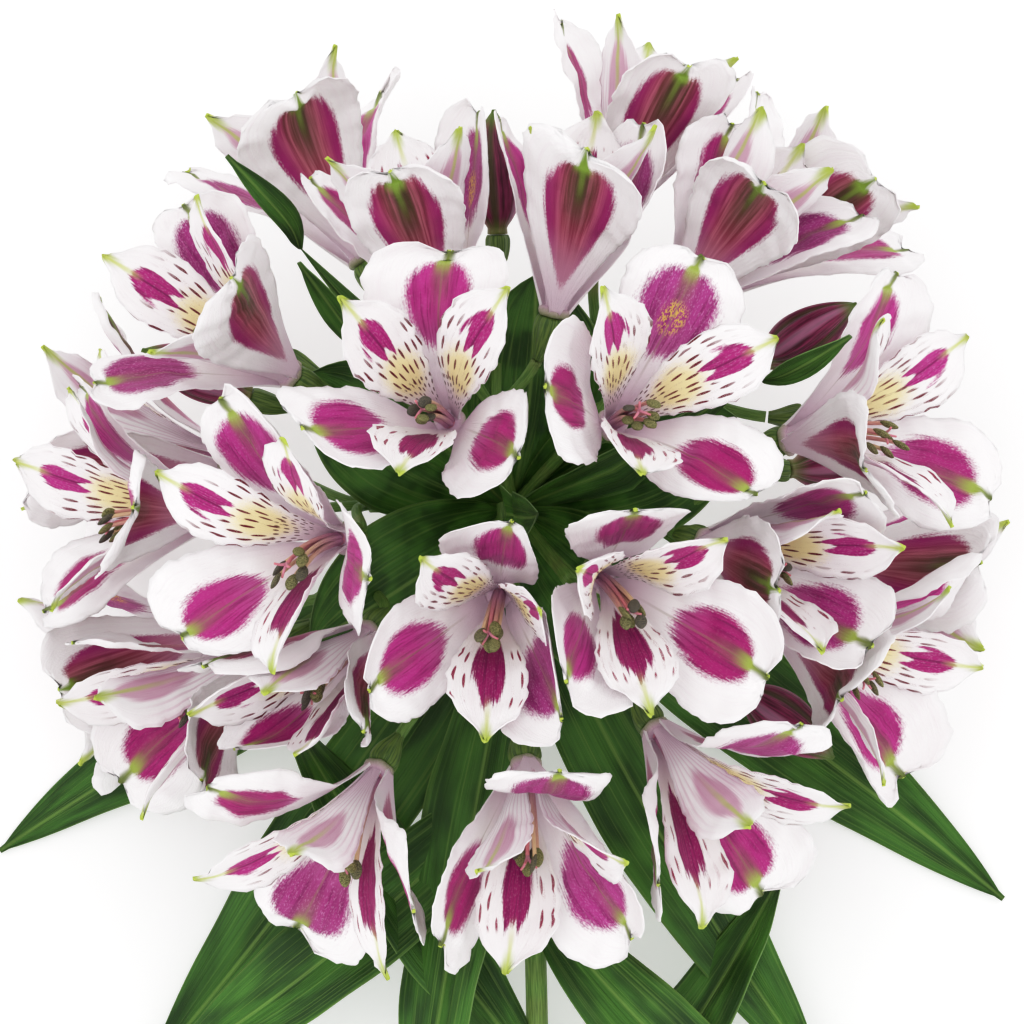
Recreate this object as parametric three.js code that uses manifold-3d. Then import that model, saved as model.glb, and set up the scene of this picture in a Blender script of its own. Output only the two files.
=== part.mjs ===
// One cut alstroemeria stem, lying on a surface: a leafy stem that ends in a full, wide-open umbel of
// white and magenta flowers on forked rays, with buds and narrow bracts between the flowers.
//
// Millimetres, +Z up. The stem runs along +Y from its cut end to the umbel, and the part rests on the
// plane z = 0. The origin is the small flat spot under the stem, near the cut end.
//
// Every flower, bud and bract keeps to a space of its own round the umbel: flat walls stand between
// neighbours, and a tepal that would cross a wall closes a little and bends along it.

import * as THREE from "three";
import { mergeVertices } from "three/addons/utils/BufferGeometryUtils.js";
import Module from "manifold-3d";

const wasm = await Module();
wasm.setup();

// ---- Driving dimensions -------------------------------------------------------------------------

// The stem lies straight up to `straight`, then rises to the umbel. It runs on behind the origin by
// `cutBack`, is sunk into the surface by `flat`, and its lower side is cut off flat there.
const STEM = {
  length: 296, cutBack: 14, straight: 14, sway: 6, radius: 3.2, topRadius: 2.5, flat: 0.05,
  sides: 8, shares: [0, 0.085, 0.2, 0.325, 0.45, 0.575, 0.7, 0.85, 1],
};
const UMBEL_HEIGHT = 40.8; // of the umbel's centre over the surface
const FACING_TILT = 15; // degrees that the head's best side leans back from straight up, to the stem
const SEAT_RADIUS = 63; // from the umbel's centre to where the tepals grow
const SITE_AHEAD = 20; // from there to the middle of a flower's space, along its axis
const REACH = { flower: 24, bud: 11, bract: 6 }; // shares of the room between neighbours
const VARIETY = { axis: 0.05, seat: 2, opening: 0.08, bearing: 5, stamen: 0.12, bud: 0.12 };

const BLADE = 0.7; // thickness of tepals
const LEAF_BLADE = 0.9;
const TOUCH_GAP = 0.3; // between pieces that are seated on each other
const WALL_GAP = 0.75; // from a blade's middle to a wall
const SOFTNESS = 2.6; // how gently a blade bends along a wall
const GIVE = 5; // how far a tepal may reach over a wall before it closes instead
const CLOSING = { step: 0.1, least: 0.5 }; // shares of its opening by which a tepal closes

// Tepals: `rise` and `blunt` shape the outline, `base` and `tip` are the angles from the flower's axis
// at which the tepal starts and ends, and `cup` raises its edges.
const OUTER = {
  length: 51, width: 36, claw: 2.8, tipWidth: 2.2, rise: 1.2, blunt: 4, round: 0.6,
  base: 20, tip: 84, flare: 1.25, cup: 0.16, ruffle: 0.9, waves: 2.2, ring: 3.2,
  cells: [1, 3, 3, 2], shares: [0, 0.42, 0.8, 1],
};
const STRIPED = {
  length: 48, width: 19, claw: 2.4, tipWidth: 1.6, rise: 1.6, blunt: 3.4, round: 0.8,
  base: 12, tip: 66, flare: 1.4, cup: 0.2, ruffle: 0.5, waves: 1.6, ring: 2,
  cells: [1, 2, 2, 1], shares: [0, 0.42, 0.8, 1],
};
const LOWER = { ...STRIPED, length: 46, width: 21, tip: 76, cup: 0.2 };

// Bearings of the six tepals round the flower's axis, from its upper side.
const TEPALS = [
  { kind: OUTER, bearing: 0 },
  { kind: OUTER, bearing: 118 },
  { kind: OUTER, bearing: -118 },
  { kind: STRIPED, bearing: 46 },
  { kind: STRIPED, bearing: -46 },
  { kind: LOWER, bearing: 180 },
];
const LAYER = 8; // degrees by which an inner tepal stays inside the outer ones

const RECEPTACLE = { height: 1.7, radius: 3.6, topRadius: 5, root: 1, sides: 6 };
const OVARY = { length: 8, radius: 3.4, budShare: 0.75 };
const RAY = { radius: 1.7, topRadius: 1.6, length: 34, past: 1.5, sides: 4 };
const PEDICEL = { radius: 1.35, topRadius: 1.6, lead: 12, approach: 18, middle: 0.45, sides: 4 };

const STAMENS = {
  count: 6, filament: 0.5, anther: 1.2, length: 27, droop: 6, spread: 4.2, swell: 1.4,
  footRadius: 1.55, footHeight: 1, styleLength: 25, styleSpread: 0.4, shares: [0.5, 0.88],
};

const BUD = {
  length: 29, radius: 6.6, tipRadius: 0.9, baseRadius: 2.4, lobes: 0.1, fullness: 0.8, skew: 0.85,
  sides: 6, rows: 5,
};

// ---- Where things stand round the umbel ------------------------------------------------------------
// `away` is the angle from the head's best side and `bearing` the angle round it, anticlockwise from
// +X, both in degrees. `ray` is the ray that carries the flower, `lean` turns its mouth to the best
// side, `roll` turns it about its axis, `open` scales its opening, `out` moves it from the centre and
// `reach` is its share of the room between neighbours, where that isn't the usual one.

const FLOWERS = [
  { away: 20, bearing: 126, ray: 0, lean: 6, roll: -4, open: 1.06, out: 6 },
  { away: 44, bearing: 108, ray: 0, lean: -30, roll: -154, open: 0.56, out: 0, reach: 22 },
  { away: 44, bearing: 78, ray: 0, lean: -30, roll: 158, open: 0.58, out: 2, reach: 22 },
  { away: 24, bearing: 40, ray: 1, lean: 8, roll: -14, open: 1.08, out: 6 },
  { away: 60, bearing: 51, ray: 1, lean: -20, roll: 116, open: 0.58, out: 4, reach: 22 },
  { away: 62, bearing: 14, ray: 2, lean: 4, roll: 10, out: 8 },
  { away: 70, bearing: 336, ray: 2, roll: -8, out: 6 },
  { away: 94, bearing: 350, ray: 2, roll: 98, open: 0.62, out: 6 },
  { away: 21, bearing: 322, ray: 3, lean: 8, roll: 12, open: 1.06, out: 4 },
  { away: 55, bearing: 303, ray: 3, roll: 6, open: 0.94, out: 11 },
  { away: 17, bearing: 262, ray: 4, lean: 8, roll: -8, open: 1.02, out: 2, reach: 22 },
  { away: 50, bearing: 273, ray: 4, roll: -6, open: 0.95, out: 11 },
  { away: 57, bearing: 243, ray: 4, roll: 10, open: 0.92, out: 15 },
  { away: 72, bearing: 210, ray: 5, roll: -16, open: 0.95, out: 6 },
  { away: 93, bearing: 202, ray: 5, roll: 12, open: 0.9, out: 10 },
  { away: 33, bearing: 190, ray: 6, lean: 6, roll: 8, open: 1.05, out: 8 },
  { away: 72, bearing: 181, ray: 6, roll: 10, out: 8 },
  { away: 97, bearing: 170, ray: 6, roll: -14, open: 0.9, out: 6 },
  { away: 60, bearing: 149, ray: 7, lean: 4, roll: 16, out: 6 },
  { away: 90, bearing: 121, ray: 7, lean: -8, roll: -96, open: 0.6, out: 6 },
  { away: 86, bearing: 46, ray: 8, roll: 122, open: 0.72, out: 10 },
  { away: 44, bearing: 221, ray: 5, roll: 14, open: 0.9, out: -2, reach: 16 },
  { away: 45, bearing: 350, ray: 2, roll: -10, open: 0.9, out: -2, reach: 20 },
  { away: 80, bearing: 72, ray: 8, lean: -6, roll: 142, open: 0.6, out: 8, reach: 20 },
];

const BUDS = [
  { away: 78, bearing: 157, ray: 7, out: 6 },
  { away: 100, bearing: 146, ray: 7, out: 4 },
  { away: 80, bearing: 93, ray: 0, out: 0 },
  { away: 78, bearing: 31, ray: 1, out: 8 },
  { away: 84, bearing: 18, ray: 8, out: 8 },
  { away: 98, bearing: 30, ray: 8, out: 6 },
  { away: 108, bearing: 8, ray: 8, out: 6 },
  { away: 86, bearing: 322, ray: 3, out: 4 },
];

// Narrow bracts between the flowers. `turn` is the blade's turn from facing the best side.
const BRACTS = [
  { away: 72, bearing: 129, width: 15, length: 96, turn: 30 },
  { away: 48, bearing: 27, width: 17, length: 100, turn: 40 },
  { away: 6, bearing: 340, width: 16, length: 62, turn: 20 },
  { away: 47, bearing: 131, width: 15, length: 86, turn: -30 },
];

// A whorl of broad leaves round the umbel's base, below the flowers.
const COLLAR = [
  { away: 66, bearing: 22, turn: 12 },
  { away: 62, bearing: 84, turn: 16 },
  { away: 66, bearing: 146, turn: -10 },
  { away: 66, bearing: 214, turn: -12 },
  { away: 66, bearing: 318, turn: 16 },
];

// Leaves: `at` is the distance along the stem, `yaw` the heading in plan from the stem's own heading,
// to the left, `pitch` its slope at the root and at the tip, `bend` the further turn in plan, and
// `roll` the turn of the blade about its own run at the root and at the tip. Degrees and millimetres.
const LEAVES = [
  { at: 290, yaw: 112, bend: 14, pitch: [-38, 6], roll: [6, 24], length: 150, width: 28 },
  { at: 284, yaw: 146, bend: -6, pitch: [-26, -2], roll: [-10, 16], length: 150, width: 29 },
  { at: 276, yaw: 168, bend: 4, pitch: [-2, -12], roll: [14, 40], length: 140, width: 25 },
  { at: 286, yaw: -154, bend: 10, pitch: [-18, -4], roll: [12, -20], length: 146, width: 26 },
  { at: 292, yaw: -118, bend: -14, pitch: [-38, 8], roll: [-6, 20], length: 152, width: 28 },
  { at: 236, yaw: 138, bend: -20, pitch: [2, -20], roll: [-10, 20], length: 118, width: 24 },
  { at: 206, yaw: -142, bend: 18, pitch: [6, -18], roll: [14, -30], length: 116, width: 23 },
  { at: 166, yaw: 40, bend: -12, pitch: [18, -20], roll: [0, 50], length: 112, width: 22 },
  { at: 126, yaw: -38, bend: 10, pitch: [16, -14], roll: [10, -40], length: 108, width: 21 },
  { at: 84, yaw: 34, bend: -8, pitch: [10, -8], roll: [-10, 30], length: 98, width: 19 },
];
const LEAF = {
  claw: 3.6, tipWidth: 1.4, rise: 0.75, blunt: 1.3, round: 0.9, cup: 0.14, ruffle: 1.1, waves: 2.6,
  steps: 24, cells: [1, 2, 2, 2, 2, 1], shares: [0, 0.2, 0.42, 0.64, 0.85, 1],
};
const BRACT = {
  claw: 2.6, tipWidth: 1.2, rise: 0.9, blunt: 1.6, round: 0.9, cup: 0.2, arch: 5, start: 3,
  tipBeyond: 10, cells: [1, 2, 2, 1], shares: [0, 0.4, 0.72, 1],
};
const COLLAR_LEAF = { ...BRACT, length: 58, width: 36, rise: 0.8, blunt: 1.8, round: 0.7, claw: 4 };
const KNOB = { radius: 4.6, topRadius: 3.7, below: 7, above: 3.5 }; // the swelling that carries the rays
const TOP_LEAVES = { count: 5, shares: [0.42, 0.62] }; // the leaves, and points on them, to keep clear of

const TEPAL_STEPS = 12; // of the sum that follows a tepal's bend
const CURVE_STEPS = 40; // along a stalk, of which its rings use a few
const NORMAL_STEP = 0.04;
const WAVE_OFFSET = 0.3; // share of a wave between a blade's left and right edges

// ---- Small helpers ---------------------------------------------------------------------------------

const rad = THREE.MathUtils.degToRad;
const { lerp, clamp } = THREE.MathUtils;
const vec = (x, y, z) => new THREE.Vector3(x, y, z);
const along = (start, direction, distance) => start.clone().addScaledVector(direction, distance);

// A fixed draw from -1 to 1 for each index and channel.
function vary(index, channel) {
  const wave = Math.sin(index * 12.9898 + channel * 78.233) * 43758.5453;
  return 2 * (wave - Math.floor(wave)) - 1;
}

const UMBEL = vec(0, STEM.length, UMBEL_HEIGHT);
const ACROSS = vec(1, 0, 0);
const UPWARD = vec(0, Math.cos(rad(FACING_TILT)), Math.sin(rad(FACING_TILT)));
const FACING = vec(0, -Math.sin(rad(FACING_TILT)), Math.cos(rad(FACING_TILT)));

function directionOf({ away, bearing }) {
  const side = Math.sin(rad(away));
  return ACROSS.clone().multiplyScalar(side * Math.cos(rad(bearing)))
    .addScaledVector(UPWARD, side * Math.sin(rad(bearing)))
    .addScaledVector(FACING, Math.cos(rad(away)));
}

// ---- Solids ----------------------------------------------------------------------------------------

function solidOf(geometry) {
  const bare = geometry.clone();
  bare.deleteAttribute("normal");
  bare.deleteAttribute("uv");
  const merged = mergeVertices(bare, 1e-4);
  return new wasm.Manifold(new wasm.Mesh({
    numProp: 3,
    vertProperties: new Float32Array(merged.attributes.position.array),
    triVerts: new Uint32Array(merged.index.array),
  }));
}

function geometryOf(solid) {
  const mesh = solid.getMesh();
  return new THREE.BufferGeometry()
    .setAttribute("position", new THREE.BufferAttribute(new Float32Array(mesh.vertProperties), 3))
    .setIndex(new THREE.BufferAttribute(new Uint32Array(mesh.triVerts), 1));
}

const fuse = (solids) => solids.reduce((whole, piece) => whole.add(piece));

// A closed solid from points and triangles, turned to face out if they were wound the other way.
function closedSolid(points, triangles) {
  const make = (faces) => new THREE.BufferGeometry().setFromPoints(points).setIndex(faces.flat());
  const solid = solidOf(make(triangles));
  return solid.volume() > 0 ? solid : solidOf(make(triangles.map(([a, b, c]) => [a, c, b])));
}

// The direction that a surface faces at (s, t).
function normalAt(surface, s, t) {
  const reach = (value, least, by) => clamp(value + by, least, 1);
  const run = surface(s, reach(t, 0, NORMAL_STEP)).sub(surface(s, reach(t, 0, -NORMAL_STEP)));
  const width = surface(reach(s, -1, NORMAL_STEP), t).sub(surface(reach(s, -1, -NORMAL_STEP), t));
  return width.cross(run).normalize();
}

// The triangles between two rows of points with m and n cells, which start at indices a and b.
function strip(a, m, b, n) {
  const triangles = [];
  let [i, j] = [0, 0];
  while (i < m || j < n) {
    const onFirstRow = j === n || (i < m && (i + 1) * n <= (j + 1) * m);
    triangles.push(onFirstRow ? [a + i, a + i + 1, b + j] : [a + i, b + j + 1, b + j]);
    if (onFirstRow) i += 1;
    else j += 1;
  }
  return triangles;
}

// A blade: surface(s, t) gives its middle, s from -1 to 1 across and t from 0 to 1 along. Each row of
// points, at one of the shares of the length, has its own number of cells. Both faces are split into
// triangles alike, half the thickness to either side of the middle.
function bladeSolid(surface, { cells, shares }, thickness) {
  const faces = [[], []];
  const starts = [];
  shares.forEach((t, row) => {
    starts.push(faces[0].length);
    for (let i = 0; i <= cells[row]; i++) {
      const s = (2 * i) / cells[row] - 1;
      const normal = normalAt(surface, s, t);
      faces[0].push(along(surface(s, t), normal, thickness / 2));
      faces[1].push(along(surface(s, t), normal, -thickness / 2));
    }
  });
  const perFace = faces[0].length;
  const last = shares.length - 1;
  const front = [];
  for (let row = 0; row < last; row++)
    front.push(...strip(starts[row], cells[row], starts[row + 1], cells[row + 1]));
  const back = front.map(([a, b, c]) => [a + perFace, c + perFace, b + perFace]);

  const border = [];
  for (let i = 0; i < cells[0]; i++) border.push(i);
  for (let row = 0; row < last; row++) border.push(starts[row] + cells[row]);
  for (let i = cells[last]; i > 0; i--) border.push(starts[last] + i);
  for (let row = last; row > 0; row--) border.push(starts[row]);
  const rim = border.flatMap((a, k) => {
    const b = border[(k + 1) % border.length];
    return [[b, a, a + perFace], [b, a + perFace, b + perFace]];
  });
  return closedSolid([...faces[0], ...faces[1]], [...front, ...back, ...rim]);
}

// The triangles of a tube with closed ends, from rings of as many points as it has sides.
function tubeTriangles(rings, sides) {
  const triangles = [];
  for (let k = 0; k < rings - 1; k++)
    for (let i = 0; i < sides; i++) {
      const [a, b] = [k * sides + i, k * sides + ((i + 1) % sides)];
      triangles.push([a, b, b + sides], [a, b + sides, a + sides]);
    }
  const last = (rings - 1) * sides;
  for (let i = 1; i < sides - 1; i++) triangles.push([0, i + 1, i], [last, last + i, last + i + 1]);
  return triangles;
}

// A round stalk along a curve, with a ring of each radius at the same place in shares of its length.
function stalkSolid(curve, shares, radii, sides) {
  const frames = curve.computeFrenetFrames(CURVE_STEPS, false);
  const points = [];
  shares.forEach((share, k) => {
    const f = Math.round(share * CURVE_STEPS);
    const centre = curve.getPointAt(f / CURVE_STEPS);
    for (let i = 0; i < sides; i++) {
      const angle = (2 * Math.PI * (i + 0.5)) / sides;
      points.push(along(centre, frames.normals[f], radii[k] * Math.cos(angle))
        .addScaledVector(frames.binormals[f], radii[k] * Math.sin(angle)));
    }
  });
  return closedSolid(points, tubeTriangles(shares.length, sides));
}

// ---- The space that each flower, bud and bract keeps to ---------------------------------------------

// The seat, axis and upper side of a flower or bud.
function standOf(place, index) {
  const radial = directionOf(place);
  const axis = along(radial, FACING, Math.tan(rad(place.lean ?? 0)))
    .addScaledVector(ACROSS, VARIETY.axis * vary(index, 1))
    .addScaledVector(UPWARD, VARIETY.axis * vary(index, 2)).normalize();
  const seat = along(UMBEL, radial, SEAT_RADIUS + (place.out ?? 0) + VARIETY.seat * vary(index, 3));
  const pole = vec(0, 1, 0);
  const upper = pole.addScaledVector(axis, -pole.dot(axis)).normalize()
    .applyAxisAngle(axis, rad(place.roll ?? 0));
  return { seat, axis, upper };
}

const flowerStands = FLOWERS.map((place, i) => standOf(place, i));
const budStands = BUDS.map((place, i) => standOf(place, FLOWERS.length + i));

// A point on the stem's middle line.
function stemPoint(distance) {
  const t = clamp((distance - STEM.straight) / (STEM.length - STEM.straight), 0, 1);
  const rest = STEM.radius * Math.cos(Math.PI / STEM.sides) - STEM.flat;
  const rise = (UMBEL_HEIGHT - rest) * t * t * (1.6 - 0.6 * t);
  return vec(STEM.sway * Math.sin(Math.PI * t), distance, rest + rise);
}

// The points and headings of a leaf's midrib.
function leafRun(leaf) {
  const run = [stemPoint(leaf.at)];
  const headings = [];
  for (let k = 0; k <= LEAF.steps; k++) {
    const t = k / LEAF.steps;
    const yaw = rad(leaf.yaw + leaf.bend * t);
    const pitch = rad(lerp(leaf.pitch[0], leaf.pitch[1], t));
    const level = Math.cos(pitch);
    headings.push(vec(-Math.sin(yaw) * level, Math.cos(yaw) * level, Math.sin(pitch)));
    if (k < LEAF.steps) run.push(along(run[k], headings[k], leaf.length / LEAF.steps));
  }
  return { run, headings };
}

const flowerSites = flowerStands.map(({ seat, axis }, i) =>
  ({ point: along(seat, axis, SITE_AHEAD), reach: FLOWERS[i].reach ?? REACH.flower }));
const budSites = budStands.map(({ seat, axis }) =>
  ({ point: along(seat, axis, BUD.length / 2), reach: REACH.bud }));
const bractSites = BRACTS.map((bract) =>
  ({ point: along(UMBEL, directionOf(bract), bract.length), reach: REACH.bract }));
const leafSites = LEAVES.slice(0, TOP_LEAVES.count).flatMap((leaf) => {
  const { run } = leafRun(leaf);
  return TOP_LEAVES.shares.map((share) =>
    ({ point: run[Math.round(share * LEAF.steps)], reach: REACH.bract }));
});
const sites = [...flowerSites, ...budSites, ...bractSites, ...leafSites];

// The flat walls round one site: between it and every other site, in the proportion of their reach,
// and the surface that the part lies on.
function wallsOf(own) {
  const walls = sites.filter((other) => other !== own).map((other) => {
    const normal = other.point.clone().sub(own.point);
    const span = normal.length();
    normal.divideScalar(span);
    const offset = normal.dot(own.point) + (span * own.reach) / (own.reach + other.reach);
    return { normal, offset };
  });
  return [...walls, { normal: vec(0, 0, -1), offset: WALL_GAP - BLADE / 2 - 0.05 }];
}

// How far a point is past the nearest of the walls.
const past = (walls, point) =>
  Math.max(...walls.map(({ normal, offset }) => normal.dot(point) - offset));

// Bends a point softly back from every wall, then holds it clear of them all.
function keepInside(walls, point, gap) {
  for (const { normal, offset } of walls) {
    const over = normal.dot(point) - offset + gap;
    if (over > -6 * SOFTNESS)
      point.addScaledVector(normal, -SOFTNESS * Math.log1p(Math.exp(-over / SOFTNESS)) - over);
  }
  for (let pass = 0; pass < 3; pass++)
    for (const { normal, offset } of walls) {
      const over = normal.dot(point) - offset + gap;
      if (over > 0) point.addScaledVector(normal, -over);
    }
  return point;
}

// ---- Flowers ---------------------------------------------------------------------------------------

// Half the width of a tepal or leaf at a share t of its length: narrow at the claw, widest past the
// middle, and rounded or pointed at the tip.
function outline(kind, t) {
  const { rise, blunt, round } = kind;
  const shape = (x) => Math.pow(x, rise) * Math.pow(Math.max(1 - Math.pow(x, blunt), 0), round);
  const widest = Math.pow(rise / (rise + blunt * round), 1 / blunt);
  const body = ((kind.width - kind.claw) * shape(t)) / shape(widest);
  return Math.max(kind.claw * (1 - t * t) + body, kind.tipWidth) / 2;
}

// The middle surface of a tepal before it meets its neighbours. It runs out from the axis at an angle
// that widens from the base to the tip, and `draw` shifts the waves of its edges.
function tepalSurface(stand, kind, bearing, tipAngle, draw) {
  const turn = rad(bearing);
  const outward = stand.upper.clone().applyAxisAngle(stand.axis, turn);
  const sideways = new THREE.Vector3().crossVectors(stand.axis, outward);
  const base = rad(kind.base);
  const swing = rad(tipAngle) - base;
  const angleAt = (t) => base + swing * Math.pow(t, kind.flare);
  return (s, t) => {
    let r = kind.ring;
    let w = RECEPTACLE.root;
    for (let k = 0; k < TEPAL_STEPS; k++) {
      const angle = angleAt(((k + 0.5) * t) / TEPAL_STEPS);
      r += (kind.length * t * Math.sin(angle)) / TEPAL_STEPS;
      w += (kind.length * t * Math.cos(angle)) / TEPAL_STEPS;
    }
    const half = outline(kind, t);
    const angle = angleAt(t);
    const phase = kind.waves * t + draw + WAVE_OFFSET * Math.sign(s);
    const wave = kind.ruffle * s * s * t * Math.sin(2 * Math.PI * phase);
    const lift = kind.cup * half * s * s * Math.min(2 * t, 1) + wave;
    return along(stand.seat, outward, r - lift * Math.cos(angle))
      .addScaledVector(stand.axis, w + lift * Math.sin(angle))
      .addScaledVector(sideways, s * half);
  };
}

// The tepal's surface, closed step by step from the angle `widest` until none of the points near its
// tip and edges is far over a wall, and then bent along the walls.
function fittingSurface(stand, kind, bearing, widest, draw, walls) {
  const points = [[0, 1], [-0.7, 0.85], [0.7, 0.85], [0, 0.8]];
  const open = (closed) => tepalSurface(stand, kind, bearing, widest * (1 - closed), draw);
  const fits = (surface) => points.every(([s, t]) => past(walls, surface(s, t)) < GIVE);
  let closed = 0;
  while (!fits(open(closed)) && closed + CLOSING.step < 1.001 - CLOSING.least) closed += CLOSING.step;
  const surface = open(closed);
  return {
    angle: widest * (1 - closed),
    surface: (s, t) => keepInside(walls, surface(s, t), WALL_GAP),
  };
}

const turnBetween = (a, b) => ((a - b + 540) % 360) - 180;

// The six tepals of one flower, as far open as its neighbours let them. The inner ones come last, and
// stay inside the outer ones on either side.
function tepalsOf(stand, place, index) {
  const walls = wallsOf(flowerSites[index]);
  const tepals = [];
  TEPALS.forEach(({ kind, bearing }, k) => {
    const isBeside = (other) => Math.abs(turnBetween(other.bearing, bearing)) < 90;
    const beside = tepals.filter((other) => other.kind === OUTER && isBeside(other));
    const limit = kind === OUTER ? 180 : Math.min(...beside.map(({ angle }) => angle)) - LAYER;
    const opening = kind.tip * (place.open ?? 1) * (1 + VARIETY.opening * vary(index, 10 + k));
    const turned = bearing + VARIETY.bearing * vary(index, 20 + k);
    const draw = vary(index, 30 + k);
    const fitted = fittingSurface(stand, kind, turned, Math.min(opening, limit), draw, walls);
    tepals.push({ kind, bearing, ...fitted });
  });
  return tepals;
}

function tepalsSolid(stand, tepals) {
  const { height, radius, topRadius, sides } = RECEPTACLE;
  const middle = new THREE.LineCurve3(stand.seat, along(stand.seat, stand.axis, height));
  const blades = tepals.map(({ kind, surface }) => bladeSolid(surface, kind, BLADE));
  return fuse([stalkSolid(middle, [0, 1], [radius, topRadius], sides), ...blades]);
}

// Six stamens and the style: they grow from one foot in the throat and droop to the flower's lower
// side, less so where the tepals are half closed. Each thread stands on its own sector of the foot.
function stamensSolid(stand, index, freedom) {
  const side = new THREE.Vector3().crossVectors(stand.axis, stand.upper);
  const point = (up, sideways, ahead) => along(stand.seat, stand.upper, up)
    .addScaledVector(side, sideways).addScaledVector(stand.axis, ahead);
  const count = STAMENS.count + 1;
  const floor = RECEPTACLE.height + TOUCH_GAP;
  const top = floor + STAMENS.footHeight;
  const round = (k, radius, ahead, drop = 0) => {
    const angle = (2 * Math.PI * k) / count;
    return point(radius * Math.cos(angle) - drop, radius * Math.sin(angle), ahead);
  };
  const points = [point(0, 0, top)];
  for (const ahead of [floor, top])
    for (let k = 0; k < count; k++) points.push(round(k, STAMENS.footRadius, ahead));

  const triangles = [];
  for (let k = 0; k < count; k++) {
    const [low, nextLow] = [1 + k, 1 + ((k + 1) % count)];
    triangles.push([low, nextLow, nextLow + count], [low, nextLow + count, low + count]);
    if (k > 0 && k < count - 1) triangles.push([1, nextLow, low]);

    const isStyle = k === 0;
    const drawn = STAMENS.length * (1 + VARIETY.stamen * vary(index, 50 + k));
    const length = isStyle ? STAMENS.styleLength : drawn;
    const spread = STAMENS.spread * freedom * (isStyle ? STAMENS.styleSpread : 1);
    const curve = new THREE.QuadraticBezierCurve3(
      round(k + 0.5, 1, top),
      round(k + 0.5, STAMENS.swell, 0.55 * length),
      round(k + 0.5, spread, length, STAMENS.droop * freedom),
    );
    let ring = [0, low + count, nextLow + count];
    const corners = ring.map((corner) => points[corner].clone());
    const centre = corners[0].clone().add(corners[1]).add(corners[2]).divideScalar(3);
    const spokes = corners.map((corner) => corner.sub(centre).normalize());
    const radii = [STAMENS.filament, isStyle ? STAMENS.filament : STAMENS.anther];
    for (const [level, radius] of radii.entries()) {
      const share = STAMENS.shares[level];
      const start = points.length;
      spokes.forEach((spoke) => points.push(along(curve.getPointAt(share), spoke, radius)));
      const next = [start, start + 1, start + 2];
      ring.forEach((corner, i) => {
        const j = (i + 1) % 3;
        triangles.push([corner, ring[j], next[j]], [corner, next[j], next[i]]);
      });
      ring = next;
    }
    points.push(curve.getPointAt(1));
    ring.forEach((corner, i) => triangles.push([corner, ring[(i + 1) % 3], points.length - 1]));
  }
  return closedSolid(points, triangles);
}

// A closed bud: three lobes that taper to a point.
function budSolid(stand, index) {
  const walls = wallsOf(budSites[index]);
  const side = new THREE.Vector3().crossVectors(stand.axis, stand.upper);
  const length = BUD.length * (1 + VARIETY.bud * vary(index, 60));
  const points = [];
  for (let j = 0; j <= BUD.rows; j++) {
    const t = j / BUD.rows;
    const belly = BUD.radius * Math.pow(Math.sin(Math.PI * Math.pow(t, BUD.skew)), BUD.fullness);
    const radius = Math.max(belly, lerp(BUD.baseRadius, BUD.tipRadius, t));
    for (let i = 0; i < BUD.sides; i++) {
      const angle = (2 * Math.PI * i) / BUD.sides;
      const lobed = radius * (1 + BUD.lobes * Math.cos(3 * angle));
      const point = along(stand.seat, stand.axis, length * t)
        .addScaledVector(stand.upper, lobed * Math.cos(angle))
        .addScaledVector(side, lobed * Math.sin(angle));
      points.push(keepInside(walls, point, WALL_GAP / 2));
    }
  }
  return closedSolid(points, tubeTriangles(BUD.rows + 1, BUD.sides));
}

// ---- The leafy stem ----------------------------------------------------------------------------------

// The middle surface of a leaf on the stem: it follows the midrib, turns about it, and stays clear of
// the surface that the part lies on.
function leafSurface(leaf, index) {
  const { run, headings } = leafRun(leaf);
  const kind = { ...LEAF, width: leaf.width };
  const floor = [{ normal: vec(0, 0, -1), offset: 0 }];
  const draw = vary(index, 80);
  return (s, t) => {
    const k = Math.min(Math.floor(t * LEAF.steps), LEAF.steps - 1);
    const between = t * LEAF.steps - k;
    const heading = headings[k].clone().lerp(headings[k + 1], between).normalize();
    const roll = rad(lerp(leaf.roll[0], leaf.roll[1], t));
    const across = new THREE.Vector3().crossVectors(heading, vec(0, 0, 1)).normalize()
      .applyAxisAngle(heading, roll);
    const normal = new THREE.Vector3().crossVectors(across, heading);
    const half = outline(kind, t);
    const phase = LEAF.waves * t + draw + WAVE_OFFSET * Math.sign(s);
    const wave = LEAF.ruffle * Math.abs(s) * Math.sin(Math.PI * t) * Math.sin(2 * Math.PI * phase);
    const point = run[k].clone().lerp(run[k + 1], between)
      .addScaledVector(across, s * half)
      .addScaledVector(normal, LEAF.cup * half * Math.abs(s) + wave);
    return keepInside(floor, point, LEAF_BLADE / 2 + STEM.flat);
  };
}

// The middle surface of a bract between the flowers, or of a leaf of the whorl below them: it arches
// out from the umbel's centre, and keeps inside its walls beyond the rays.
function bractSurface(place, kind, walls) {
  const axis = directionOf(place);
  const across = new THREE.Vector3().crossVectors(axis, FACING).normalize()
    .applyAxisAngle(axis, rad(place.turn));
  const normal = new THREE.Vector3().crossVectors(across, axis);
  return (s, t) => {
    const half = outline(kind, t);
    const point = along(UMBEL, axis, kind.start + t * kind.length)
      .addScaledVector(across, s * half)
      .addScaledVector(normal, kind.arch * Math.sin(Math.PI * t) + kind.cup * half * s * s);
    return t * kind.length > RAY.length ? keepInside(walls, point, WALL_GAP) : point;
  };
}

// The direction of a ray: the middle of the flowers that it carries.
function rayDirection(ray) {
  const sum = vec(0, 0, 0);
  FLOWERS.filter((place) => place.ray === ray).forEach((place) => sum.add(directionOf(place)));
  return sum.normalize();
}

function stemSolid() {
  const line = new THREE.Curve();
  line.getPoint = (t) => stemPoint(lerp(-STEM.cutBack, STEM.length, t));
  const radii = STEM.shares.map((share) => lerp(STEM.radius, STEM.topRadius, share));
  return stalkSolid(line, STEM.shares, radii, STEM.sides);
}

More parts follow.
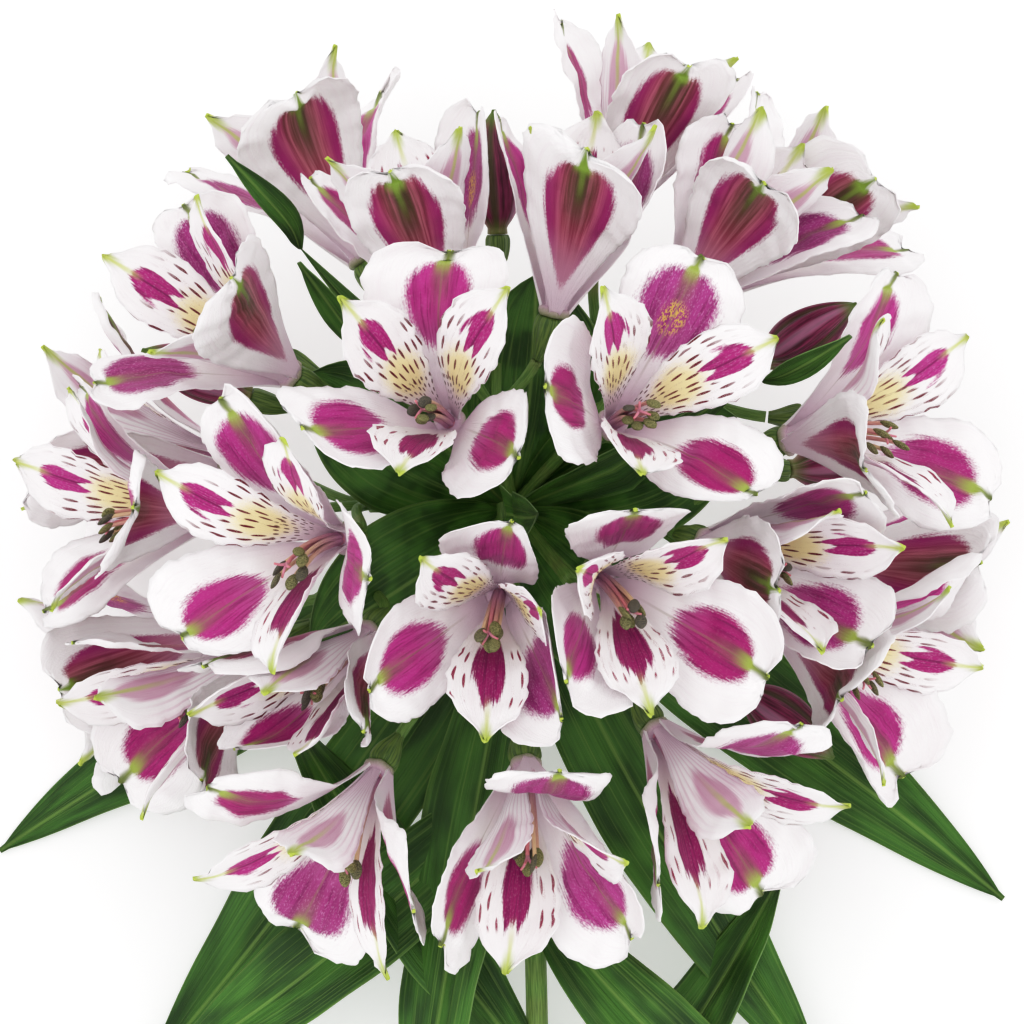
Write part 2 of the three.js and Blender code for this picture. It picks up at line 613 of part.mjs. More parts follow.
function knobSolid() {
  const pole = vec(0, 1, 0);
  const line = new THREE.LineCurve3(along(UMBEL, pole, -KNOB.below), along(UMBEL, pole, KNOB.above));
  return stalkSolid(line, [0, 0.6, 1], [STEM.topRadius, KNOB.radius, KNOB.topRadius], STEM.sides);
}

function raySolid(heading) {
  const line = new THREE.LineCurve3(along(UMBEL, heading, 1), along(UMBEL, heading, RAY.length + RAY.past));
  return stalkSolid(line, [0, 1], [RAY.radius, RAY.topRadius], RAY.sides);
}

// The stalk from a ray's fork to a flower or bud, which ends in the swelling under its tepals.
function pedicelSolid(heading, { seat, axis }, swelling) {
  const fork = along(UMBEL, heading, RAY.length);
  const top = along(seat, axis, -TOUCH_GAP);
  const lead = along(fork, heading, PEDICEL.lead);
  const curve = new THREE.CubicBezierCurve3(fork, lead, along(top, axis, -PEDICEL.approach), top);
  const ovary = OVARY.length / curve.getLength();
  const radii = [PEDICEL.radius, PEDICEL.radius, PEDICEL.topRadius, OVARY.radius * swelling];
  return stalkSolid(curve, [0, PEDICEL.middle, 1 - ovary, 1], radii, PEDICEL.sides);
}

function leafyStemSolid() {
  const rays = [...new Set(FLOWERS.map((place) => place.ray))];
  const headings = new Map(rays.map((ray) => [ray, rayDirection(ray)]));
  const pieces = [stemSolid(), knobSolid(), ...[...headings.values()].map(raySolid)];
  FLOWERS.forEach((place, i) => {
    pieces.push(pedicelSolid(headings.get(place.ray), flowerStands[i], 1));
  });
  BUDS.forEach((place, i) => {
    pieces.push(pedicelSolid(headings.get(place.ray), budStands[i], OVARY.budShare));
  });

  LEAVES.forEach((leaf, i) => pieces.push(bladeSolid(leafSurface(leaf, i), LEAF, LEAF_BLADE)));
  BRACTS.forEach((bract, i) => {
    const kind = { ...BRACT, width: bract.width, length: bract.length + BRACT.tipBeyond };
    pieces.push(bladeSolid(bractSurface(bract, kind, wallsOf(bractSites[i])), kind, BLADE));
  });
  COLLAR.forEach((leaf) => {
    pieces.push(bladeSolid(bractSurface(leaf, COLLAR_LEAF, []), COLLAR_LEAF, BLADE));
  });

  const under = new THREE.BoxGeometry(1000, 1000, 20);
  under.translate(0, 0, -10);
  return fuse(pieces).subtract(solidOf(under));
}

// ---- Assembly ----------------------------------------------------------------------------------------

const MATERIALS = {
  tepals: new THREE.MeshStandardMaterial({ color: "#ead3e0", roughness: 0.5, metalness: 0 }),
  stamens: new THREE.MeshStandardMaterial({ color: "#c98aa0", roughness: 0.6, metalness: 0 }),
  buds: new THREE.MeshStandardMaterial({ color: "#7c1f4d", roughness: 0.5, metalness: 0 }),
  greens: new THREE.MeshStandardMaterial({ color: "#3f6b2a", roughness: 0.45, metalness: 0 }),
};

function meshOf(name, solid, material) {
  const geometry = geometryOf(solid);
  geometry.computeVertexNormals();
  const mesh = new THREE.Mesh(geometry, material);
  mesh.name = name;
  return mesh;
}

const two = (n) => String(n).padStart(2, "0");
const group = new THREE.Group();
group.name = "alstroemeria_stem";
group.add(meshOf("leafy_stem", leafyStemSolid(), MATERIALS.greens));
FLOWERS.forEach((place, i) => {
  const stand = flowerStands[i];
  const tepals = tepalsOf(stand, place, i);
  const freedom = Math.min(...tepals.map(({ kind, angle }) => angle / kind.tip), 1);
  group.add(meshOf(`flower_${two(i + 1)}_tepals`, tepalsSolid(stand, tepals), MATERIALS.tepals));
  group.add(meshOf(`flower_${two(i + 1)}_stamens`, stamensSolid(stand, i, freedom), MATERIALS.stamens));
});
BUDS.forEach((place, i) => {
  group.add(meshOf(`bud_${two(i + 1)}`, budSolid(budStands[i], i), MATERIALS.buds));
});

export default group;
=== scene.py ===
"""Looks of one cut alstroemeria stem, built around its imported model.

Places and forms follow the model: the same stands, walls and surfaces, in millimetres, are worked out
here again and sampled finely. Every piece replaces one node of the model.
"""

import math
from collections import namedtuple
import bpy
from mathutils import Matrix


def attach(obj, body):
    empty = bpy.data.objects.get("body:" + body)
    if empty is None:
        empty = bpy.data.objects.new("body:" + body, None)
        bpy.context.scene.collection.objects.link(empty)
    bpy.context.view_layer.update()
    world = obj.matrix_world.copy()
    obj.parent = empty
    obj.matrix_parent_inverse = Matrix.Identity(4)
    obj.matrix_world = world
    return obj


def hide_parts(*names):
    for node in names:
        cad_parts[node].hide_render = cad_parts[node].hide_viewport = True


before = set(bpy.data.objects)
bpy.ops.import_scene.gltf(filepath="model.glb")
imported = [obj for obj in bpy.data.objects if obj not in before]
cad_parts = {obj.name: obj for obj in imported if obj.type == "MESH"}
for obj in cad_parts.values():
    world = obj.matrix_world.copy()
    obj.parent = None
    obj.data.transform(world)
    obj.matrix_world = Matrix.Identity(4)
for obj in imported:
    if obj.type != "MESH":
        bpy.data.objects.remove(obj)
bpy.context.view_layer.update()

from types import SimpleNamespace as Table

import bpy
import numpy as np
from mathutils import Vector

MM = 0.001
TURN = 2 * math.pi

# ---- Driving dimensions, as in the model (millimetres and degrees) ----

STEM = Table(length=296, cut_back=14, straight=14, sway=6, radius=3.2, top_radius=2.5, flat=0.05, sides=8)
UMBEL_HEIGHT = 40.8
FACING_TILT = 15
SEAT_RADIUS = 63
SITE_AHEAD = 20
REACH = Table(bud=11, bract=6)
VARIETY = Table(axis=0.05, seat=2, opening=0.08, bearing=5, stamen=0.12, bud=0.12)
BLADE = 0.7
LEAF_BLADE = 0.9
TOUCH_GAP = 0.3
WALL_GAP = 0.75
SOFTNESS = 2.6
FELT_AHEAD = 6
HOLDING_ROUNDS = 3
GIVE = 5
CLOSING = Table(step=0.1, least=0.5)

OUTER = dict(
    name="outer", length=51, width=36, claw=2.8, tip_width=2.2, rise=1.2, blunt=4, round=0.6,
    base=20, tip=84, flare=1.25, cup=0.16, ruffle=0.9, waves=2.2, ring=3.2,
)
STRIPED = dict(
    name="striped", length=48, width=19, claw=2.4, tip_width=1.6, rise=1.6, blunt=3.4, round=0.8,
    base=12, tip=66, flare=1.4, cup=0.2, ruffle=0.5, waves=1.6, ring=2,
)
LOWER = {**STRIPED, "name": "lower", "length": 46, "width": 21, "tip": 76}
TEPALS = [(OUTER, 0), (OUTER, 118), (OUTER, -118), (STRIPED, 46), (STRIPED, -46), (LOWER, 180)]
LAYER = 8
# A tepal closes until these places on it, across and along, pass no wall by more than GIVE.
PROBES = [(0, 1), (-0.7, 0.85), (0.7, 0.85), (0, 0.8)]
TEPAL_STEPS = 12
WAVE_OFFSET = 0.3
RECEPTACLE = Table(height=1.7, root=1)
OVARY = Table(length=8, radius=3.4, bud_share=0.75)
RAY = Table(radius=1.7, top_radius=1.6, length=34, past=1.5)
PEDICEL = Table(radius=1.35, top_radius=1.6, lead=12, approach=18)
STAMENS = Table(
    count=6, length=27, droop=6, spread=4.2, swell=1.4, foot_height=1, style_length=25, style_spread=0.4,
)
BUD = Table(
    length=29, radius=6.6, tip_radius=0.9, base_radius=2.4, lobes=0.1, fullness=0.8, skew=0.85,
)

Flower = namedtuple("Flower", "away bearing ray lean roll open out reach")
FLOWERS = [Flower(*row) for row in (
    (20, 126, 0, 6, -4, 1.06, 6, 24), (44, 108, 0, -30, -154, 0.56, 0, 22),
    (44, 78, 0, -30, 158, 0.58, 2, 22), (24, 40, 1, 8, -14, 1.08, 6, 24),
    (60, 51, 1, -20, 116, 0.58, 4, 22), (62, 14, 2, 4, 10, 1, 8, 24), (70, 336, 2, 0, -8, 1, 6, 24),
    (94, 350, 2, 0, 98, 0.62, 6, 24), (21, 322, 3, 8, 12, 1.06, 4, 24), (55, 303, 3, 0, 6, 0.94, 11, 24),
    (17, 262, 4, 8, -8, 1.02, 2, 22), (50, 273, 4, 0, -6, 0.95, 11, 24),
    (57, 243, 4, 0, 10, 0.92, 15, 24), (72, 210, 5, 0, -16, 0.95, 6, 24),
    (93, 202, 5, 0, 12, 0.9, 10, 24), (33, 190, 6, 6, 8, 1.05, 8, 24), (72, 181, 6, 0, 10, 1, 8, 24),
    (97, 170, 6, 0, -14, 0.9, 6, 24), (60, 149, 7, 4, 16, 1, 6, 24), (90, 121, 7, -8, -96, 0.6, 6, 24),
    (86, 46, 8, 0, 122, 0.72, 10, 24), (44, 221, 5, 0, 14, 0.9, -2, 16), (45, 350, 2, 0, -10, 0.9, -2, 20),
    (80, 72, 8, -6, 142, 0.6, 8, 20),
)]
Bud = namedtuple("Bud", "away bearing ray out")
BUDS = [Bud(*row) for row in (
    (78, 157, 7, 6), (100, 146, 7, 4), (80, 93, 0, 0), (78, 31, 1, 8), (84, 18, 8, 8), (98, 30, 8, 6),
    (108, 8, 8, 6), (86, 322, 3, 4),
)]
# The bracts between the flowers, then the leaves of the whorl, whose length and width are all alike.
Bract = namedtuple("Bract", "away bearing width length turn")
BRACTS = [Bract(*row) for row in (
    (72, 129, 15, 96, 30), (48, 27, 17, 100, 40), (6, 340, 16, 62, 20), (47, 131, 15, 86, -30),
)]
COLLAR = [Bract(away, bearing, 36, 58, turn) for away, bearing, turn in (
    (66, 22, 12), (62, 84, 16), (66, 146, -10), (66, 214, -12), (66, 318, 16),
)]
Leaf = namedtuple("Leaf", "at yaw bend pitch_root pitch_tip roll_root roll_tip length width")
LEAVES = [Leaf(*row) for row in (
    (290, 112, 14, -38, 6, 6, 24, 150, 28), (284, 146, -6, -26, -2, -10, 16, 150, 29),
    (276, 168, 4, -2, -12, 14, 40, 140, 25), (286, -154, 10, -18, -4, 12, -20, 146, 26),
    (292, -118, -14, -38, 8, -6, 20, 152, 28), (236, 138, -20, 2, -20, -10, 20, 118, 24),
    (206, -142, 18, 6, -18, 14, -30, 116, 23), (166, 40, -12, 18, -20, 0, 50, 112, 22),
    (126, -38, 10, 16, -14, 10, -40, 108, 21), (84, 34, -8, 10, -8, -10, 30, 98, 19),
)]
LEAF = dict(
    claw=3.6, tip_width=1.4, rise=0.75, blunt=1.3, round=0.9, cup=0.14, ruffle=1.1, waves=2.6, steps=24,
)
BRACT = dict(
    claw=2.6, tip_width=1.2, rise=0.9, blunt=1.6, round=0.9, cup=0.2, arch=5, start=3, tip_beyond=10,
)
COLLAR_LEAF = {**BRACT, "rise": 0.8, "blunt": 1.8, "round": 0.7, "claw": 4, "tip_beyond": 0}
KNOB = Table(radius=4.6, below=7, above=3.5)
TOP_LEAVES = Table(count=5, shares=(0.42, 0.62))

# ---- What is finer here than in the model (millimetres, degrees and shares) ----

# How much closer together the cells of a blade are at its midrib
CROWDING = 0.28
TEPAL_CELLS = {"outer": (28, 40), "striped": (18, 34), "lower": (18, 34)}
PETAL = Table(thickness=0.36, edge=0.2, claw=0.5, tip=0.5, fold=0.7, fold_width=3.2, softness=3.6)
NOTCH = Table(depth=5.2, width=4.4, point=2.4, point_width=1.0, hook=1.3)
# How far each kind strays from the model's surface: `curl` and `margin` are a mean and the reach of the
# draw about it, and `margin` is a share of the half width.
STRAY = {
    "outer": Table(curl=(-1.8, 4.6), margin=(-0.08, 0.46), twist=12, drift=2.4, crumple=1.1, frill=0.75),
    "striped": Table(curl=(-0.8, 2.6), margin=(0.02, 0.26), twist=11, drift=1.8, crumple=0.5, frill=0.5),
    "lower": Table(curl=(-0.6, 3.2), margin=(0.0, 0.3), twist=11, drift=1.8, crumple=0.6, frill=0.6),
}
# Wavelengths of the crumples across and along a tepal, and the waves of its frilled edge
CRUMPLE = Table(long=(17, 34), cross=(-40, 21), fine=(15, 9), fine_share=0.35)
FRILL = Table(waves=5.2, slow_waves=1.9, offset=0.37, unevenness=0.35)
NIBBLE = Table(aside=0.5, along=0.7, waves=9, spacing=4.3)
# The cup under the tepals, as heights and radii from its foot to its top.
CUP_ROWS = [(0.0, 0.02), (0.0, 3.2), (0.5, 3.65), (1.4, 3.7), (2.0, 3.1), (2.3, 1.8), (2.35, 0.02)]
CUP = Table(cells=36, lobes=6, lobe=0.05, map_radius=3, map_height=4)
THREAD = Table(rings=22, root=0.62, tip=0.42, style_tip=0.46, share=0.93, sides=8)
FOOT = Table(lip=0.4, cap=0.5, radii=[1.5, 1.6, 1.3, 0.5], sides=14)
# The bends of a branch are how far ahead and aside of the style's tip it goes.
STIGMA = Table(branches=3, bearing=30, bends=[(1.8, 0.5), (2.8, 2.2)], radii=(0.4, 0.25), rings=8, sides=7)
ANTHER = Table(
    length=4.4, radius=1.12, rings=13, sides=14, groove=0.22, squash=0.75, lean=0.55, nod=0.35, ahead=1.2,
)
BUD_FORM = Table(
    cells=(48, 43), twist=0.35, seam=0.16, seam_power=8, fullness=0.98, tip=0.6, map_radius=5,
)
# The empty border of each tile of the picture map, as a share of the tile
TILE_MARGIN = 0.03
LEAF_CELLS = (18, 72)
BRACT_CELLS = (12, 40)
LEAF_FORM = Table(
    thickness=0.5, edge=0.45, frill=0.5,
    leaf=Table(waves=5.5, fold=0.9, fold_width=2.6, root=1.4, root_share=0.1),
    bract=Table(waves=4, fold=0.45, fold_width=2, root=0.8, root_share=0.12),
)
STALK = Table(rings=26, sides=12, slim=0.86, past=0.02)
OVARY_FORM = Table(rings=18, sides=48, ribs=6, rib=0.09, foot=0.84, belly=0.14, neck=0.1)
RAY_FORM = Table(rings=16, sides=14, slim=0.92, fork=0.22)
STEM_FORM = Table(rings=120, sides=28, ribs=9, rib=0.012, past=2, joint=0.13, joint_length=4, draw=0.3)
KNOB_FORM = Table(rings=14, sides=24, ribs=5, rib=0.06, waist=0.25, draw=0.6)

# ---- Vectors and draws ----


def vec(x, y, z):
    return np.array([x, y, z], float)


def unit(v):
    return v / np.linalg.norm(v, axis=-1, keepdims=True)


def turned(v, axis, degrees):
    """v turned about a unit axis by the right-hand rule."""
    a = math.radians(degrees)
    return v * math.cos(a) + np.cross(axis, v) * math.sin(a) + axis * np.dot(axis, v) * (1 - math.cos(a))


def vary(index, channel):
    """The model's fixed draw from -1 to 1."""
    wave = math.sin(index * 12.9898 + channel * 78.233) * 43758.5453
    return 2 * (wave - math.floor(wave)) - 1


def drawn(index, channel):
    """The same draw, from 0 to 1."""
    return 0.5 + 0.5 * vary(index, channel)


def lerp(a, b, t):
    return a + (b - a) * t


def smooth(low, high, x):
    t = np.clip((x - low) / (high - low), 0, 1)
    return t * t * (3 - 2 * t)


def bell(x, width):
    """1 at nought, and near 0 from twice the width on."""
    return np.exp(-((x / width) ** 2))


def ripple(x, phase):
    """An uneven wave from -1 to 1 with about one crest for each unit of x."""
    slow = np.sin(TURN * (x + phase)) + 0.6 * np.sin(TURN * (1.73 * x + 2.1 * phase))
    return (slow + 0.4 * np.sin(TURN * (2.91 * x + 3.7 * phase))) / 2


def triples(a, b, c):
    """Three values side by side at every point."""
    return np.stack(np.broadcast_arrays(a, b, c), -1)


UMBEL = vec(0, STEM.length, UMBEL_HEIGHT)
ACROSS = vec(1, 0, 0)
POLE = vec(0, 1, 0)
TILT = math.radians(FACING_TILT)
UPWARD = vec(0, math.cos(TILT), math.sin(TILT))
FACING = vec(0, -math.sin(TILT), math.cos(TILT))


def direction_of(place):
    a, b = math.radians(place.away), math.radians(place.bearing)
    return math.sin(a) * (math.cos(b) * ACROSS + math.sin(b) * UPWARD) + math.cos(a) * FACING


# ---- Spaces round the umbel ----


def stand_of(place, index, lean=0, roll=0):
    """Seat, axis and upper side of a flower or bud."""
    radial = direction_of(place)
    axis = radial + FACING * math.tan(math.radians(lean))
    axis = axis + VARIETY.axis * (ACROSS * vary(index, 1) + UPWARD * vary(index, 2))
    axis = unit(axis)
    seat = UMBEL + radial * (SEAT_RADIUS + place.out + VARIETY.seat * vary(index, 3))
    upper = turned(unit(POLE - axis * np.dot(POLE, axis)), axis, roll)
    return Table(seat=seat, axis=axis, upper=upper, side=np.cross(axis, upper))


flower_stands = [stand_of(flower, i, flower.lean, flower.roll) for i, flower in enumerate(FLOWERS)]
bud_stands = [stand_of(bud, len(FLOWERS) + i) for i, bud in enumerate(BUDS)]


def stem_point(distance):
    t = min(max((distance - STEM.straight) / (STEM.length - STEM.straight), 0), 1)
    rest = STEM.radius * math.cos(math.pi / STEM.sides) - STEM.flat
    rise = (UMBEL_HEIGHT - rest) * t * t * (1.6 - 0.6 * t)
    return vec(STEM.sway * math.sin(math.pi * t), distance, rest + rise)


def leaf_run(leaf):
    """The points and headings of a leaf's midrib."""
    run, headings = [stem_point(leaf.at)], []
    steps = LEAF["steps"]
    for k in range(steps + 1):
        t = k / steps
        turn = math.radians(leaf.yaw + leaf.bend * t)
        pitch = math.radians(lerp(leaf.pitch_root, leaf.pitch_tip, t))
        level = math.cos(pitch)
        headings.append(vec(-math.sin(turn) * level, math.cos(turn) * level, math.sin(pitch)))
        if k < steps:
            run.append(run[k] + headings[k] * leaf.length / steps)
    return np.array(run), np.array(headings)


flower_sites = [(s.seat + s.axis * SITE_AHEAD, place.reach) for s, place in zip(flower_stands, FLOWERS)]
bud_sites = [(s.seat + s.axis * BUD.length / 2, REACH.bud) for s in bud_stands]
bract_sites = [(UMBEL + direction_of(bract) * bract.length, REACH.bract) for bract in BRACTS]
leaf_sites = [
    (leaf_run(leaf)[0][int(share * LEAF["steps"] + 0.5)], REACH.bract)
    for leaf in LEAVES[: TOP_LEAVES.count]
    for share in TOP_LEAVES.shares
]
SITES = flower_sites + bud_sites + bract_sites + leaf_sites


def walls_of(own):
    """Normals and offsets of the flat walls round one site, and of the surface below."""
    walls = []
    for k, (point, reach) in enumerate(SITES):
        if k == own:
            continue
        normal = point - SITES[own][0]
        span = np.linalg.norm(normal)
        normal = normal / span
        share = span * SITES[own][1] / (SITES[own][1] + reach)
        walls.append((normal, np.dot(normal, SITES[own][0]) + share))
    return walls + [(vec(0, 0, -1), WALL_GAP - BLADE / 2 - STEM.flat)]


def keep_inside(walls, points, gap, softness=SOFTNESS):
    """Bends points softly back from every wall, then holds them clear of all."""
    shape = points.shape
    points = points.reshape(-1, 3).copy()
    for normal, offset in walls:
        over = points @ normal - offset + gap
        near = over > -FELT_AHEAD * softness
        back = -softness * np.log1p(np.exp(-over[near] / softness)) - over[near]
        points[near] += back[:, None] * normal
    for _ in range(HOLDING_ROUNDS):
        for normal, offset in walls:
            over = np.maximum(points @ normal - offset + gap, 0)
            points -= over[..., None] * normal
    return points.reshape(shape)


# ---- Grids and meshes ----


def cells_of(grid):
    """The four corners of every cell of a grid, going round."""
    return np.stack([grid[:-1, :-1], grid[:-1, 1:], grid[1:, 1:], grid[1:, :-1]], 2)


def border_of(grid):
    return np.concatenate([grid[0, :-1], grid[:-1, -1], grid[-1, :0:-1], grid[:0:-1, 0]])


def put_in_scene(name, data):
    thing = bpy.data.objects.new(name, data)
    bpy.context.scene.collection.objects.link(thing)
    return thing


class Piece:
    """Collects grids of faces into one mesh with its markings and its own picture map.

    Each vertex carries `spot`, the place on its blade (across -1 to 1, along 0 to 1, a draw), and
    `place`, the same place in millimetres with a second draw. Tubes have their angle across.
    """

    def __init__(self, name):
        self.name, self.count = name, 0
        self.points, self.spots, self.places = [], [], []
        self.faces, self.slots, self.flats, self.maps, self.materials = [], [], [], [], []

    def add(self, quads, loops, material, flat_shaded, flip):
        """Adds faces with their corners on the picture map."""
        if material not in self.materials:
            self.materials.append(material)
        self.faces.append(quads[:, ::-1] if flip else quads)
        self.maps.append(loops[:, ::-1] if flip else loops)
        self.slots.append(np.full(len(quads), self.materials.index(material)))
        self.flats.append(np.full(len(quads), flat_shaded))

    def grid(self, points, spot, place, material, flip=False):
        """Adds rows x columns x 3 points as quads, and returns their vertex numbers."""
        rows, columns = points.shape[:2]
        index = self.count + np.arange(rows * columns).reshape(rows, columns)
        self.count += rows * columns
        self.points.append(points.reshape(-1, 3))
        self.spots.append(spot.reshape(-1, 3))
        self.places.append(place.reshape(-1, 3))
        corners = np.stack(np.meshgrid(np.linspace(0, 1, columns), np.linspace(0, 1, rows)), -1)
        self.add(cells_of(index).reshape(-1, 4), cells_of(corners).reshape(-1, 4, 2), material, False, flip)
        return index

    def rim(self, front, back, material, flip=False):
        """Joins the borders of two grids of the same size by a narrow strip."""
        a, b = border_of(front), border_of(back)
        quads = np.stack([a, b, np.roll(b, -1), np.roll(a, -1)], -1)
        share = np.linspace(0, 1, len(a) + 1)
        start, end, zero, one = share[:-1], share[1:], np.zeros(len(a)), np.ones(len(a))
        corners = [(start, zero), (start, one), (end, one), (end, zero)]
        loops = np.stack([np.stack(corner, -1) for corner in corners], -2)
        self.add(quads, loops, material, True, flip)

    def finish(self, *nodes, slot):
        mesh = bpy.data.meshes.new(self.name)

        def fill(where, name, values, kind=np.float32):
            where.foreach_set(name, values.astype(kind).ravel())

        points = np.concatenate(self.points) * MM
        faces = np.concatenate(self.faces)
        mesh.vertices.add(len(points))
        fill(mesh.vertices, "co", points)
        mesh.loops.add(faces.size)
        fill(mesh.loops, "vertex_index", faces, np.int32)
        mesh.polygons.add(len(faces))
        fill(mesh.polygons, "loop_start", np.arange(0, faces.size, 4), np.int32)
        mesh.update(calc_edges=True)
        fill(mesh.polygons, "material_index", np.concatenate(self.slots), np.int32)
        fill(mesh.polygons, "use_smooth", ~np.concatenate(self.flats), bool)
        for name, values in (("spot", self.spots), ("place", self.places)):
            fill(mesh.attributes.new(name, "FLOAT_VECTOR", "POINT").data, "vector", np.concatenate(values))
        side = math.ceil(math.sqrt(len(self.maps)))
        tiles = []
        for k, corners in enumerate(self.maps):
            start = np.array([k % side, k // side])
            tiles.append((start + TILE_MARGIN + (1 - 2 * TILE_MARGIN) * corners) / side)
        fill(mesh.uv_layers.new(name="OFBake").data, "uv", np.concatenate(tiles))
        for material in self.materials:
            mesh.materials.append(material)
        mesh.validate()
        piece = put_in_scene(self.name, mesh)
        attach(piece, "root")
        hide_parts(*nodes)
        return piece


def across_and_along(cells):
    """Shares across, closer together at the midrib, and along."""
    u = np.linspace(-1, 1, cells[0] + 1)
    return np.meshgrid(u * (1 - CROWDING + CROWDING * u * u), np.linspace(0, 1, cells[1] + 1))


def outline(kind, t):
    """Half the width of a blade at each share of its length."""
    rise, blunt, power = kind["rise"], kind["blunt"], kind["round"]

    def shape(x):
        return np.power(x, rise) * np.power(np.maximum(1 - np.power(x, blunt), 0), power)

    widest = (rise / (rise + blunt * power)) ** (1 / blunt)
    body = (kind["width"] - kind["claw"]) * shape(t) / shape(widest)
    return np.maximum(kind["claw"] * (1 - t * t) + body, kind["tip_width"]) / 2


def add_blade(piece, points, thickness, spot, place, front, back, rim, along_cross):
    """A thin closed blade about middle points. Its front looks along run x width, or else against it."""
    normals = unit(np.cross(np.gradient(points, axis=0), np.gradient(points, axis=1)) + 1e-12)
    if not along_cross:
        normals = -normals
    half = thickness[..., None] / 2
    a = piece.grid(points + normals * half, spot, place, front, flip=along_cross)
    b = piece.grid(points - normals * half, spot, place, back, flip=not along_cross)
    piece.rim(a, b, rim, flip=along_cross)


def tube_frames(points):
    """Two unit vectors across a curve at each of its points, without twist."""
    tangents = unit(np.gradient(points, axis=0))
    first = np.eye(3)[np.argmin(np.abs(tangents[0]))]
    normal = unit(first - tangents[0] * np.dot(first, tangents[0]))
    normals = [normal]
    for tangent in tangents[1:]:
        normal = unit(normal - tangent * np.dot(normal, tangent))
        normals.append(normal)
    normals = np.array(normals)
    return normals, np.cross(tangents, normals)


def add_tube(piece, points, radii, sides, material, draw=0.0, ribs=0, rib_depth=0.0, squash=1.0):
    """A closed tube along points. Its ends close to points in one more ring."""
    normals, binormals = tube_frames(points)
    angles = np.linspace(0, TURN, sides + 1)
    radii = np.asarray(radii, float)[:, None] * (1 + rib_depth * np.cos(ribs * angles)[None, :])
    rings = points[:, None] + (radii * np.cos(angles))[..., None] * normals[:, None]
    rings = rings + (squash * radii * np.sin(angles))[..., None] * binormals[:, None]
    ends = [np.repeat(points[k][None], sides + 1, 0)[None] for k in (0, -1)]
    rings = np.concatenate([ends[0], rings, ends[1]])
    steps = np.linalg.norm(np.diff(points, axis=0), axis=1)
    travelled = np.concatenate([[0, 0], np.cumsum(steps), [steps.sum()]])[:, None]
    spot = triples(angles[None] / math.pi - 1, travelled / travelled[-1], draw)
    piece.grid(rings, spot, triples(angles[None], travelled, draw), material)


def bezier(points, t):
    """Points on the Bezier curve of three or four control points."""
    t = np.asarray(t, float)[:, None]
    n = len(points) - 1
    return sum(math.comb(n, k) * (1 - t) ** (n - k) * t**k * p for k, p in enumerate(points))


# ---- Shading ----


def linear(code):
    """A linear colour from an sRGB hex code."""
    parts = [int(code[i : i + 2], 16) / 255 for i in (1, 3, 5)]
    return tuple(c / 12.92 if c <= 0.04045 else ((c + 0.055) / 1.055) ** 2.4 for c in parts) + (1.0,)


class Value:
    """A number that differs over the surface, used in plain sums and products."""

    def __init__(self, shader, socket):
        self.shader, self.socket = shader, socket

    def __add__(self, other):
        return self.shader.math("ADD", self, other)

    def __sub__(self, other):
        return self.shader.math("SUBTRACT", self, other)

    def __rsub__(self, other):
        return self.shader.math("SUBTRACT", other, self)

    def __mul__(self, other):
        return self.shader.math("MULTIPLY", self, other)

    def __truediv__(self, other):
        return self.shader.math("DIVIDE", self, other)

    def __abs__(self):
        return self.shader.math("ABSOLUTE", self)

    def smooth(self, low, high, start=0.0, end=1.0):
        """Goes smoothly from start to end as the value goes from low to high."""
        given = dict(enumerate((self, low, high, start, end)))
        return self.shader.made("ShaderNodeMapRange", given, interpolation_type="SMOOTHSTEP")

    __radd__ = __add__
    __rmul__ = __mul__


class Shader:
    """A material whose nodes are made by short calls. Values, numbers and colours mix freely."""

    def __init__(self, name):
        self.material = bpy.data.materials.new(name)
        self.material.use_nodes = True
        self.tree = self.material.node_tree
        self.tree.nodes.clear()
        self.spot, self.place = self.split("spot"), self.split("place")

    def new(self, kind, **settings):
        node = self.tree.nodes.new(kind)
        for key, value in settings.items():
            setattr(node, key, value)
        return node

    def put(self, socket, value):
        if isinstance(value, Value):
            self.tree.links.new(value.socket, socket)
        else:
            socket.default_value = value

    def made(self, kind, given, output=0, **settings):
        """An output of a new node whose inputs are given by number or by name."""
        node = self.new(kind, **settings)
        for key, value in given.items():
            self.put(node.inputs[key], value)
        return Value(self, node.outputs[output])

    def split(self, attribute):
        """The three parts of a vertex attribute."""
        vector = self.made("ShaderNodeAttribute", {}, "Vector", attribute_name=attribute)
        parts = self.new("ShaderNodeSeparateXYZ")
        self.put(parts.inputs[0], vector)
        return [Value(self, socket) for socket in parts.outputs]

    def join(self, x, y, z):
        return self.made("ShaderNodeCombineXYZ", {0: x, 1: y, 2: z})

    def math(self, operation, *values):
        return self.made("ShaderNodeMath", dict(enumerate(values)), operation=operation)

    def noise(self, vector, scale, detail=2.0, roughness=0.5):
        given = dict(Vector=vector, Scale=scale, Detail=detail, Roughness=roughness)
        return self.made("ShaderNodeTexNoise", given)

    def white(self, vector):
        return self.made("ShaderNodeTexWhiteNoise", dict(Vector=vector), "Value", noise_dimensions="3D")

    def mix(self, factor, a, b):
        return self.made("ShaderNodeMix", {0: factor, 6: a, 7: b}, 2, data_type="RGBA")

    def layers(self, base, *coats):
        """Coats of colour over a base, each given as its amount and its colour."""
        for amount, colour in coats:
            base = self.mix(amount, base, colour)
        return base

    def finish(self, colour, roughness, height=None, depth=0.0, **fixed):
        """The surface shader. height is a bump of depth in metres; fixed are plain socket values."""
        shader = self.new("ShaderNodeBsdfPrincipled")
        self.put(shader.inputs["Base Color"], colour)
        self.put(shader.inputs["Roughness"], roughness)
        for key, value in fixed.items():
            shader.inputs[key.replace("_", " ")].default_value = value
        if height is not None:
            given = dict(Strength=1.0, Distance=depth, Height=height)
            self.put(shader.inputs["Normal"], self.made("ShaderNodeBump", given))
        output = self.new("ShaderNodeOutputMaterial")
        self.tree.links.new(shader.outputs[0], output.inputs["Surface"])
        return self.material


